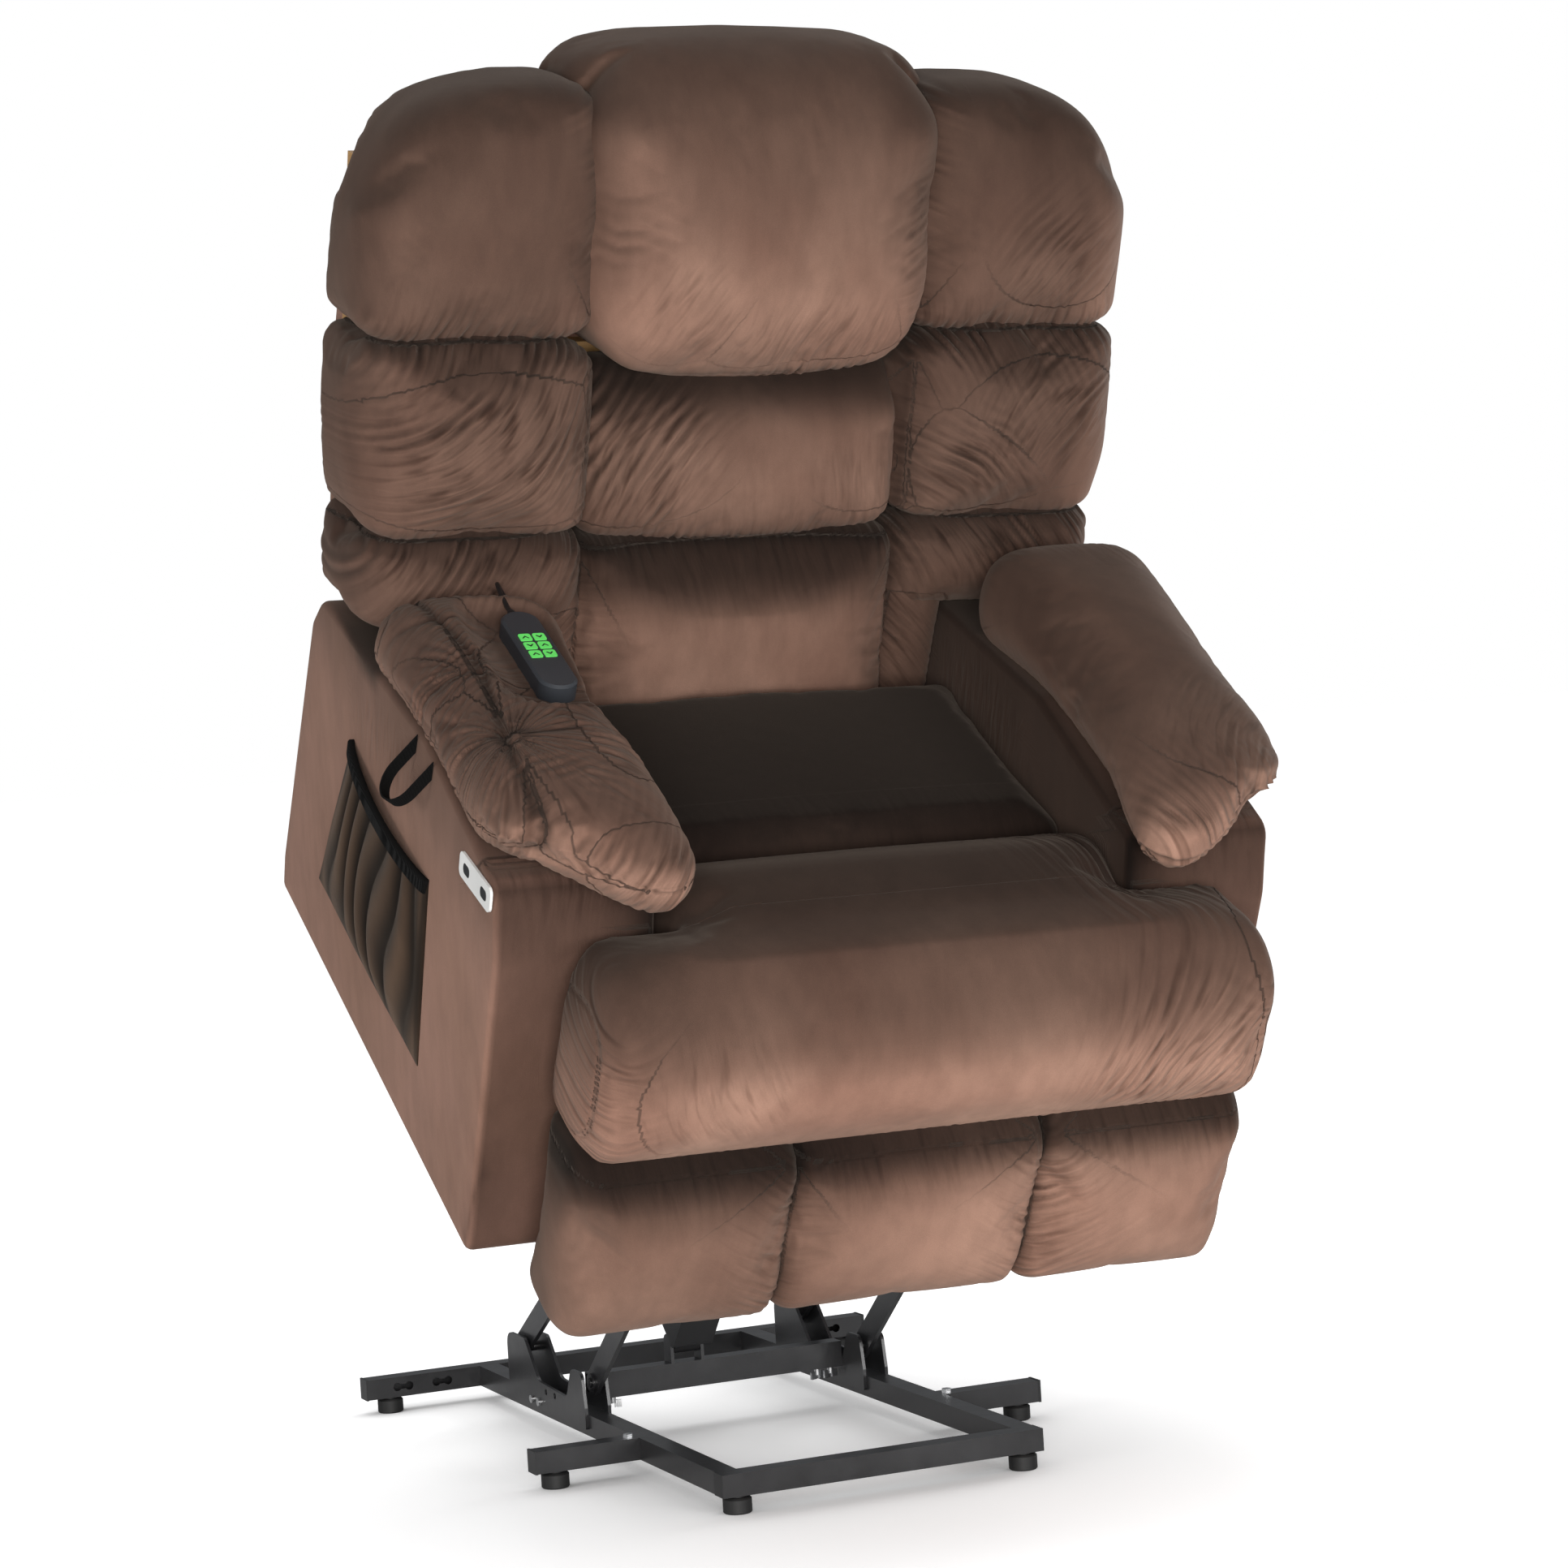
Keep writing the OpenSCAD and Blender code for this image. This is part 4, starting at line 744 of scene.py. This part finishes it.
def head_pillow():
    lo_u, hi_u = PILLOW_FOOT, BACK_TOP + 30
    x, v, u, faces = block((-218, -56, lo_u), (218, REAR + 60, hi_u), (58, 62, 58))
    v = np.minimum(v, REAR + 20 * smooth((u - WING_TOP - 4) / 12))
    s = x / 214
    t = (u - (lo_u + hi_u) / 2) / ((hi_u - lo_u) / 2)
    x *= 1 - 0.10 * step(u, 400, 290)
    flap = step(u, 540, 610) * step(v, 10, 80)
    x *= 1 + 0.13 * flap
    u -= 30 * s ** 4 * step(u, 520, 640)
    u += 8 * s * s * step(u, 380, 290)
    v -= 20 * bell(s) * bell(t + 0.25) * (v < 40)
    v += 44 * step(u, 560, 650) * (v < 40)
    obj = soft("head_pillow_pad", (x, v, u), faces, 24, back)

    def zones(q):
        x, v, u = q.T
        return [
            from_seam(x, (u - lo_u + 6) * (v < 30), 26, 0.2, 0.9 * step(x, -40, 60) + 0.25),
            patch(x, u, (60, 330), (110, 55), 78, 0.5, 0.1),
            patch(x, u, (-110, 370), (60, 60), 60, 0.45, 0.1),
            patch(x, u, (185, 420), (26, 110), 15, 0.5),
        ]

    # painted shade: a dark line along the front of the foot seam, and the pillow darker towards its top and
    # towards its sides up high
    return finish_soft(obj, "backrest", "head_pillow", zones, unback,
                       lambda q: 0.6 * near(q[:, 2] - lo_u, 5) * (q[:, 1] < 0),
                       lambda q: 0.86 - 0.28 * step(q[:, 2], 340, 510)
                       - 0.2 * smooth((np.abs(q[:, 0] + 20) - 120) / 110) * step(q[:, 2], 400, 500),
                       height=2.4)


def lumbar():
    x, v, u, faces = block((-COLUMN - 6, -18, LUMBAR_FOOT - 4), (COLUMN + 6, 98, 300), (34, 48, 34))
    v -= 20 * bell(x / 230) * bell((u - 170) / 90) * (v < 40)
    v += 24 * step(u, 225, 285) * (v < 40)
    u -= 12 * bell(x / COLUMN) * step(u, 170, 90)
    obj = soft("lumbar_pad", (x, v, u), faces, 18, back)

    def zones(q):
        x, _, u = q.T
        return [
            patch(x, u, (-150, 200), (95, 90), 58, 1.2, 0.2),
            from_seam(x, u - LUMBAR_FOOT + 10, 30, 0.1, 0.8),
            patch(x, u, (150, 150), (70, 50), 100, 0.4, 0.2),
        ]

    # painted shade: dark along the foot seam and at the top under the head pillow, and darker towards the -X end
    return finish_soft(obj, "backrest", "lumbar_cushion", zones, unback,
                       lambda q: 0.8 * near(q[:, 2] - LUMBAR_FOOT + 8, 5)
                       + 0.8 * step(q[:, 2], 215, 275),
                       lambda q: 0.64 - 0.14 * step(q[:, 0], -60, -170))


def lower():
    x, v, u, faces = block((-COLUMN - 6, -34, -166), (COLUMN + 6, 98, LUMBAR_FOOT + 4), (30, 48, 30))
    v -= 12 * bell(x / 230) * bell((u + 40) / 120) * (v < 40)
    u -= 12 * bell(x / COLUMN) * step(u, 20, 80)
    obj = soft("lower_pad", (x, v, u), faces, 16, back)

    def zones(q):
        x, _, u = q.T
        return [
            from_seam(x, u - LUMBAR_FOOT + 10, 40, 0.1, 0.7),
            from_seam(u, np.abs(x) - 200, 22, 0.2, 0.5),
        ]

    # painted shade: dark along the top seam and towards the foot, and darker towards the top
    return finish_soft(obj, "backrest", "lower_cushion", zones, unback,
                       lambda q: 0.75 * near(q[:, 2] - LUMBAR_FOOT + 12, 7)
                       + 0.6 * np.exp(-(q[:, 2] + 150) / 26),
                       lambda q: 0.72 - 0.5 * step(q[:, 2], -20, 50), height=2.0)


# ---- flat upholstered panels
PANEL_STEP, PANEL_EDGE = 6.0, 9.0      # between an outline's points, and the radius of a panel's edges


def outline_of(points):
    """The outline in Y and Z of a prism along X, as even points, from the vertices of its +X end."""
    edge = points[points[:, 0] > points[:, 0].max() - 0.6]
    ring = np.unique(np.round(edge[:, 1:], 2), axis=0)
    mid = (ring.min(0) + ring.max(0)) / 2
    ring = ring[np.argsort(np.arctan2(ring[:, 1] - mid[1], ring[:, 0] - mid[0]))]
    return even(ring)


def even(ring):
    """Points at even steps along a closed line."""
    closed = np.vstack([ring, ring[:1]])
    run = np.concatenate([[0], np.cumsum(np.linalg.norm(np.diff(closed, axis=0), axis=1))])
    at = np.linspace(0, run[-1], int(run[-1] / PANEL_STEP), endpoint=False)
    return np.stack([np.interp(at, run, closed[:, k]) for k in (0, 1)], 1)


def ring_normals(ring):
    """Unit normals in a closed line's own plane."""
    d = np.roll(ring, -1, 0) - np.roll(ring, 1, 0)
    n = np.stack([d[:, 1], -d[:, 0]], 1)
    return n / np.maximum(np.linalg.norm(n, axis=1, keepdims=True), 1e-9)


def panel_loft(ring, t0, t1, bulge):
    """A flat upholstered body on an outline, from t0 to t1, as (ring, t) sections: its edges are rounded and
    its two faces crowned by bulge."""
    mid = ring.mean(0)
    out = []
    n = ring_normals(ring)
    if np.mean(np.sum(n * (ring - mid), 1)) < 0:
        n = -n
    for t, sign in ((t0, -1), (t1, 1)):
        side = []
        inset = ring - n * PANEL_EDGE
        for share in (0.03, 0.25, 0.5, 0.75, 0.92):
            side.append((mid + (inset - mid) * share, t + sign * bulge * (1 - share ** 3)))
        for k in range(5):
            a = math.pi / 8 * k
            side.append((ring - n * PANEL_EDGE * (1 - math.sin(a)),
                         t - sign * PANEL_EDGE * (1 - math.cos(a))))
        out.append(side)
    middle = [(ring, t0 + PANEL_EDGE + (t1 - t0 - 2 * PANEL_EDGE) * k / 6) for k in range(1, 6)]
    return out[0] + middle + out[1][::-1]


def round_corners(pts, radii):
    """A closed line with each corner replaced by a short curve; radii has a value per point."""
    out = []
    n = len(pts)
    for i, (b, r) in enumerate(zip(pts, radii)):
        if r <= 0:
            out.append(b)
            continue
        u, v = pts[i - 1] - b, pts[(i + 1) % n] - b
        lu, lv = np.linalg.norm(u), np.linalg.norm(v)
        u, v = u / lu, v / lv
        half = math.acos(float(np.clip(u @ v, -1, 1))) / 2
        run = min(r / math.tan(half), 0.45 * lu, 0.45 * lv)
        for t in [k / 6 for k in range(7)]:
            out.append((b + u * run) * (1 - t) ** 2 + 2 * b * t * (1 - t) + (b + v * run) * t * t)
    return np.array(out)


def closed_object(name, verts, faces, mat):
    """A piece with its faces turned outward."""
    obj = new_object(name, verts, faces, mat)
    bm = bmesh.new()
    bm.from_mesh(obj.data)
    bmesh.ops.recalc_face_normals(bm, faces=bm.faces)
    bm.to_mesh(obj.data)
    bm.free()
    return obj


def arm_panel(side):
    name = "left" if side > 0 else "right"
    ring = outline_of(unchair(node_points(f"{name}_arm_box")))
    sections = panel_loft(ring, ARM_INNER, ARM_OUTER, ARM_CROWN)
    verts, faces = loft([np.stack([np.full(len(r), t * side), r[:, 0], r[:, 1]], 1) for r, t in sections])
    obj = closed_object(f"{name}_arm_panel", chair(verts), mirrored(faces, side), PANEL)

    def zones(q):
        x, y, z = q.T
        return [
            from_seam(z, (np.abs(x) - 290) * (y < -370), 40, 0.3, 0.5),
            from_seam(np.abs(x), (z - 500) * (y < -300), 36, 0.1, 0.7),
            patch(y, z, (30, 440), (120, 50), 75, 0.35, 0.1),
        ]

    # painted shade: a dark line along the front seam of the outer face
    def crease_shade(q):
        return 0.55 * near(q[:, 1] + 404, 4) * step(np.abs(q[:, 0]), 440, 450)

    # painted light and shade: lighter low down and darker towards the top, darker on the front strip, and much
    # darker on the inner face and at the rear of the top
    def tone(q):
        x, y, z = np.abs(q[:, 0]), q[:, 1], q[:, 2]
        edge = np.interp(z, (58, 180, 420, 496), (-414, -402, -378, -352))
        front = smooth((edge + 12 - y) / 10) * step(x, 468, 458)
        inner = step(x, 300, 290)
        rear_top = step(z, 485, 495) * step(y, 60, 100)
        return ((1.17 - 0.5 * step(z, 360, 500)) * (1 - front * (0.62 + 0.2 * step(x, 360, 300)))
                * (1 - 0.75 * np.maximum(inner, rear_top)))

    return finish_soft(obj, "seat_carriage", f"{name}_arm_box", zones, unchair,
                       crease_shade, tone, height=1.0, subdivide=False)


def back_cover():
    """The flat rear of the backrest, stitched along the column's edges and above its foot."""
    half = np.array([[182, -60], [186, 26], [452, 30], [454, 300], [446, WING_TOP - 170],
                     [400, WING_TOP - 70], [330, WING_TOP - 30], [212, WING_TOP - 14], [194, BACK_TOP + 2]])
    ring = np.vstack([[[0, BACK_TOP + 4]], half[::-1] * (-1, 1), half])
    radii = [0, 14, 14, 60, 60, 60, 200, 16, 8, 16]
    sections = panel_loft(even(round_corners(ring, radii + radii[:0:-1])), REAR - 2.5, REAR + 28, 0.0)
    verts, faces = loft([np.stack([r[:, 0], np.full(len(r), t), r[:, 1]], 1) for r, t in sections])
    obj = closed_object("back_cover", chair(back(verts)), faces, PANEL)

    def groove(q):
        x, v, u = q.T
        line = np.minimum(np.abs(np.abs(x) - 196), np.abs(u - 60) + 200 * (np.abs(x) > 400))
        return 2.2 * np.exp(-(line / 3.0) ** 2) * (v > 140)

    return finish_soft(obj, "backrest", "back_panel", None, unback, groove=groove,
                       subdivide=False)


# ---- seat, arms
def seat():
    x, y, z, faces = block((-281, SEAT_SEAM - 3, 372), (281, 108, 440), (30, 24, 28))
    z += 10 * bell(x / 300) * bell((y + 70) / 190) * (z > 400)
    obj = soft("seat_pad", (x, y, z), faces, 12)
    # painted shade: the seat darkened almost to black, a little less towards its front, with dark lines along the
    # chaise seam, towards the rear and at the sides by the arms
    return finish_soft(obj, "seat_carriage", "seat_cushion",
                       lambda q: [from_seam(q[:, 0], q[:, 1] - SEAT_SEAM - 1, 26, 0.1, 0.35)], height=1.6,
                       crease_shade=lambda q: 0.6 * near(q[:, 1] - SEAT_SEAM, 5)
                       + 0.4 * step(q[:, 1], 30, 110) + 0.5 * step(np.abs(q[:, 0]), 225, 285),
                       tone=lambda q: 0.06 + 0.06 * step(-q[:, 1], 180, 230))


def lap():
    """The chaise pad and the footrest's top roll, as one shape that parts where the footrest swings out."""
    x, y, z, faces = block((-ROLL_HALF, -556, ROLL_FOOT), (411, SEAT_SEAM + 1, 462), (34, 92, 74))
    behind = step(y, -400, -384)
    x = x * (1 - behind * (1 - CHAISE_HALF / ROLL_HALF))
    z = np.where(z < 372, z + (372 - z) * behind, z)
    z += 6 * bell((y + 330) / 90) * (z > 400)
    y -= 12 * bell((z - 350) / 110) * (y < -470) * bell(x / 470)
    obj = soft("lap_pad", (x, y, z), faces, 12)
    use_modifier(obj, "SUBSURF", levels=1)
    pieces = []
    cut = chair([[0, ROLL_CUT, 400]])[0]
    across = chair([[0, ROLL_CUT + 1, 400]])[0] - cut
    for name, keep_rear in (("chaise_pad_soft", True), ("footrest_roll_pad", False)):
        mesh = obj.data.copy()
        bm = bmesh.new()
        bm.from_mesh(mesh)
        result = bmesh.ops.bisect_plane(bm, geom=[*bm.verts, *bm.edges, *bm.faces], plane_co=cut,
                                        plane_no=across, clear_inner=keep_rear, clear_outer=not keep_rear)
        edges = [e for e in result["geom_cut"] if isinstance(e, bmesh.types.BMEdge)]
        bmesh.ops.holes_fill(bm, edges=edges)
        bm.to_mesh(mesh)
        bm.free()
        pieces.append(place(name, mesh))
    bpy.data.objects.remove(obj)

    def zones(q):
        x, y, z = q.T
        return [
            patch(x, z - 0.4 * y, (290, 560), (120, 110), 62, 0.9, 0.25),
            patch(x, z, (-280, 350), (90, 60), 112, 0.5, 0.2),
            from_seam(z - 0.3 * y, np.abs(x) - ROLL_HALF + 6, 26, 0.4, 1.0),
            from_seam(x, (z - ROLL_FOOT - 2) * (y < -440), 16, 0.1, 0.5),
            from_seam(x, y - SEAT_SEAM, 22, 0.1, 0.3),
        ]

    # painted shade: dark lines along the seat seam and the roll's underside, and darker at the chaise's sides
    def crease_shade(q):
        x, y, z = q.T
        return (0.6 * near(y - SEAT_SEAM, 5) * (z > 380) + 0.5 * near(z - ROLL_FOOT, 8)
                + 0.6 * step(np.abs(x), 240, 290) * step(y, -400, -340))

    # painted light and shade: lighter low on the roll, darker towards the top and from the roll's front backwards,
    # and a little darker at the -X end
    def tone(q):
        x, y, z = q.T
        return (1.2 + 0.35 * step(z, 300, 240) - 0.48 * step(z, 320, 410)
                - 0.44 * step(y, -510, -380) - 0.14 * step(x, -200, -360))

    for piece, body, node, fill in ((pieces[0], "seat_carriage", "chaise_pad", 0.7),
                                    (pieces[1], "footrest_board", "footrest_roll", 0.8)):
        finish_soft(piece, body, node, zones, unchair, crease_shade, tone,
                    height=2.2, subdivide=False)


PAD_RISE = 66.0        # how far a pad's underside climbs toward the arm's outer face, at its nose


def pad_outward(x):
    return step(x, 290, 470)


def arm_pad(side):
    name = "left" if side > 0 else "right"
    x, y, z, faces = block((264, PAD_NOSE, 498), (487, PAD_REAR, 600), (58, 60, 46))
    outward = pad_outward(x)
    nose = step(y, -250, -440)
    y += 58 * outward * nose
    z += (PAD_RISE * outward * step(z, 590, 500) - 12) * nose
    z -= 16 * nose ** 2 * step(z, 540, 590)
    z += 9 * bell((x - 376) / 112) * (z > 540)
    z = np.where(z < 550, z + 16 * bell((y + 90) / 300), z)
    x += 10 * bell((y + 150) / 200) * step(x, 330, 270)
    z += (34 if side > 0 else 6) * step(y, -350, 50) * step(z, 520, 580)
    obj = soft(f"{name}_arm_cushion", (x * side, y, z), mirrored(faces, side), 18)
    if side < 0:       # the handset lies in a dent
        shell = unchair(node_points("handset_back"))
        lo, hi = shell.min(0), shell.max(0)
        q = unchair(get_points(obj))
        away = np.linalg.norm(np.maximum(0, np.maximum(lo - q, q - hi))[:, :2], axis=1)
        dent = lo[2] + 1.5 + 10 * (away / 30) ** 2
        q[:, 2] = np.where(q[:, 2] > 550, np.minimum(q[:, 2], dent), q[:, 2])
        set_points(obj, chair(q))

    def zones(q):
        x, y, z = q[:, 0] * side, q[:, 1], q[:, 2]
        top = step(z, 535, 560)
        out = [from_seam(x + 0.5 * z, y - PAD_NOSE, 46, 0.3, 1.1)]
        if side < 0:
            out += [
                from_seam(y, (x - TUFT_LINE) * top, 34, 0.35, 0.9),
                from_point(x, y, (TUFT_LINE, -250), 150, 90, 1.0),
                from_point(x, y, (TUFT_LINE, -110), 90, 70, 0.7),
                patch(x, y, (320, -230), (60, 110), 20, 0.8, 0.2),
                from_seam(x + y * 0.4, y - PAD_REAR, 40, 0.2, 0.8),
            ]
        else:
            out += [
                patch(x, y, (400, -330), (80, 90), 60, 0.55, 0.2),
                from_seam(y, z - 506, 20, 0.2, 0.6),
                from_seam(x, y - PAD_REAR, 30, 0.2, 0.6),
            ]
        return out

    def groove(q):
        x, y, z = q[:, 0] * side, q[:, 1], q[:, 2]
        top = step(z, 530, 550)
        if side < 0:
            bow = TUFT_LINE + 8 * np.sin(y / 60)
            g = 5.5 * np.exp(-(x - bow) ** 2 / 40) * top
            for y0 in (10, -112, -236):
                line = y - y0 - 0.22 * (x - TUFT_LINE)
                g += 4 * np.exp(-line ** 2 / 40) * top * near(x - TUFT_LINE, 60)
            return g
        welt = z - 516 - PAD_RISE * pad_outward(x)
        return (3.5 * np.exp(-welt ** 2 / 24) - 1.8 * np.exp(-(welt - 6) ** 2 / 24)) * step(y, -370, -390)

    # painted light and shade: the right pad darker towards its outer side and lighter on its inner; the left pad
    # darker on its inner side along the middle and lighter at its nose
    def tone(q):
        x, y = q[:, 0] * side, q[:, 1]
        if side < 0:
            return 0.85 - 0.15 * step(x, 400, 460) + 0.15 * step(x, 310, 270)
        return 0.75 - 0.35 * step(x, 340, 280) * step(y, -380, -180) + 0.35 * step(y, -380, -420)

    return finish_soft(obj, "seat_carriage", f"{name}_arm_pad", zones, unchair, None, tone,
                       groove=groove, height=3.2)


# ---- footrest
def panel():
    parts = []
    inner, outer = CHANNELS - 4, CHANNELS + 4
    for k, (x0, x1) in enumerate(((-ROLL_HALF, -inner), (-outer, outer), (inner, ROLL_HALF))):
        x, y, z, faces = block((x0, -556, 14), (x1, -360, 268), (26, 58, 34))
        y = np.minimum(y, -418)
        y += 16 * step(z, 90, 10) * (y < -480)
        y -= 10 * bell((x - (x0 + x1) / 2) / ((x1 - x0) / 2)) * bell((z - 120) / 110) * (y < -480)
        y += 22 * step(z, 215, 255) * (y < -470)
        parts.append(soft(f"footrest_panel_{k}", (x, y, z), faces, 14))
    obj = join(parts, "footrest_panel_pad")

    def zones(q):
        x, _, z = q.T
        return [
            from_seam(z, (x + CHANNELS) * (x < -CHANNELS), 40, 0.7, 0.9),
            from_seam(z, (x + CHANNELS) * (x > -CHANNELS), 20, -0.4, 0.4),
            from_seam(z, (x - CHANNELS) * (x < CHANNELS), 40, 0.7, 0.8),
            from_seam(z, (x - CHANNELS) * (x > CHANNELS), 40, -0.7, 0.9),
            from_seam(x, z - ROLL_FOOT, 24, 0.2, 0.6),
        ]

    # painted shade: dark lines along the channel seams, darker towards the top under the roll and along the outer
    # edges
    def crease_shade(q):
        x, y, z = q.T
        return (0.8 * near(np.abs(x) - CHANNELS, 4) + 0.8 * step(z, 200, 240)
                + 0.35 * step(y, -540, -480) * step(np.abs(x), 395, 401))

    # painted light and shade: darker on the -X channel, lighter towards +X, and darker towards the top under the
    # roll
    def tone(q):
        return 0.68 + 0.44 * step(q[:, 0], -210, 90) - 0.3 * step(q[:, 2], 150, 220)

    return finish_soft(obj, "footrest_board", "footrest_panel", zones, unchair, crease_shade, tone,
                       height=2.2)


# ---- side pocket
POCKET_PLEATS = 6.5
POCKET_STAND = 22.0        # how far its middle stands off the arm


def pocket_edge(a, b):
    """Where the pocket stands off the arm's side: a runs from its rear to its front, b from foot to top."""
    belly = np.sin(math.pi * b ** 0.7 * 0.8)
    stand = POCKET_STAND * (4 * a * (1 - a)) ** 0.7 * belly
    pleat = np.abs(np.sin(math.pi * (POCKET_PLEATS * a + 0.22 * np.sin(5 * b + 9 * a))))
    depth = 9 * np.minimum(1, 6 * a * (1 - a)) * (0.25 + 0.75 * belly) * np.minimum(1, b * 5)
    y = (1 - b) * (190 - 395 * a) + b * (126 - 294 * a)
    z = (1 - b) * (162 + 4 * a) + b * (390 - 5 * a) - 5 * np.sin(math.pi * a) * b
    return np.stack([-ARM_FACE - stand - depth * (pleat - 0.35), y, z], -1), pleat


def pocket():
    wide, high = 180, 60
    a, b = np.meshgrid(np.linspace(0, 1, wide), np.linspace(0, 1, high))
    verts = pocket_edge(a, b)[0]
    faces = [(r * wide + c, r * wide + c + 1, (r + 1) * wide + c + 1, (r + 1) * wide + c)
             for r in range(high - 1) for c in range(wide - 1)]
    obj = new_object("side_pocket_cloth", chair(verts.reshape(-1, 3)), faces, POCKET)
    use_modifier(obj, "SOLIDIFY", thickness=0.0016, offset=0.0)
    finish_soft(obj, "seat_carriage", "side_pocket", tone=pocket_painted_shade, subdivide=False)


def pocket_painted_shade(q):
    """Painted shade: dark in the pleats, darker at the front edge and lighter towards the foot, from each point's
    own place across and up the pocket.
    """
    b = np.clip((q[:, 2] - 164) / 224, 0, 1)
    rear, front = 190 - 64 * b, -205 + 37 * b
    a = np.clip((rear - q[:, 1]) / (rear - front), 0, 1)
    pleat = pocket_edge(a, b)[1]
    return (0.05 + 0.75 * pleat ** 2) * (1 - 0.7 * smooth((a - 0.965) / 0.02)) * (0.75 + 0.35 * (1 - b))


def pocket_elastic():
    """The band along the pocket's top edge."""
    section = ((-4.16, -13), (-5.44, -11), (-5.44, 2), (-4.16, 4),
               (2.56, 4), (3.52, 2), (3.52, -11), (2.56, -13))
    rings = []
    for a in np.linspace(-0.02, 1.02, 60):
        edge = pocket_edge(np.array(np.clip(a, 0, 1)), np.array(1.0))[0]
        edge[0] = -ARM_FACE - 1 - POCKET_STAND * (4 * max(a, 0) * max(1 - a, 0)) ** 0.7 * 0.6
        rings.append(np.array([edge + (dx, 0, dz) for dx, dz in section]))
    verts, faces = loft(rings)
    obj = closed_object("pocket_elastic_band", chair(verts), faces, WEBBING)
    for poly in obj.data.polygons:
        poly.use_smooth = len(poly.vertices) == 4
    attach(obj, "seat_carriage")
    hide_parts("pocket_elastic")


# ---- marks on the keys
def key_marks():
    """A raised arrowhead on each key, pointing the way that it moves the chair."""
    ways = {"lift": 1, "lower": -1, "recline": -1, "upright": 1, "leg_up": 1, "leg_down": -1}
    places = {k: node_points(f"button_{k}") for k in ways}
    out = -np.array(press)
    across = places["lower"].mean(0) - places["lift"].mean(0)
    across /= np.linalg.norm(across)
    up = np.cross(out, across)
    up *= math.copysign(1, up[1])
    for key, way in ways.items():
        points = places[key]
        mid = points.mean(0)
        mid = mid + out * ((points @ out).max() - mid @ out)
        rings = []
        for grow, rise in ((1.0, -0.0003), (1.0, 0.0002), (0.8, 0.0004)):
            rings.append(np.array([mid + out * rise + grow * (across * s + up * way * t) / 1000
                                   for s, t in ((-4.2, -2.2), (0, 2.8), (4.2, -2.2), (2.9, -2.9), (0, 0.4),
                                                (-2.9, -2.9))]))
        verts, faces = loft(rings)
        obj = closed_object(f"mark_{key}", verts, faces, BLACK)
        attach(obj, f"key_{key}")


# ---- cord
CORD_POINTS = [
    (-333, 38, 604), (-333, 50, 604), (-332, 76, 606), (-327, 102, 603), (-316, 115, 586),
    (-298, 119, 558), (-276, 120, 520), (-264, 120, 470), (-260, 120, 420), (-260, 122, 370),
    (-260, 124, 320), (-259, 128, 270), (-254, 136, 232), (-244, 148, 212), (-228, 162, 206),
    (-212, 172, 214), (-200, 176, 226), (-188, 176, 230), (-180, 176, 230)]


def handset_cord():
    """A smooth curve from the handset's gland over the arm and down to the motor plug."""
    route = chair(CORD_POINTS)
    fine = []
    for k in range(len(route) - 1):
        p = [route[max(0, k - 1)], route[k], route[k + 1], route[min(len(route) - 1, k + 2)]]
        for t in np.linspace(0, 1, 6, endpoint=False):
            fine.append(0.5 * (2 * p[1] + (p[2] - p[0]) * t + (2 * p[0] - 5 * p[1] + 4 * p[2] - p[3]) * t * t
                               + (3 * p[1] - p[0] - 3 * p[2] + p[3]) * t ** 3))
    fine.append(route[-1])
    fine = np.array(fine)
    data = bpy.data.curves.new("handset_cord_jacket", "CURVE")
    data.dimensions = "3D"
    data.bevel_depth = 0.00275      # half its diameter
    data.bevel_resolution = 5
    data.use_fill_caps = True
    line = data.splines.new("POLY")
    line.points.add(len(fine) - 1)
    line.points.foreach_set("co", np.concatenate([fine, np.ones((len(fine), 1))], 1).ravel())
    data.materials.append(CORD)
    obj = place("handset_cord_jacket", data)
    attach(obj, "seat_carriage")
    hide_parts("handset_cord")


handset_cord()
for side in (-1, 1):
    wing(side)
head_pillow()
lumbar()
lower()
back_cover()
seat()
lap()
for side in (-1, 1):
    arm_pad(side)
    arm_panel(side)
panel()
pocket()
pocket_elastic()
key_marks()

bpy.context.scene.view_settings.view_transform = "Standard"
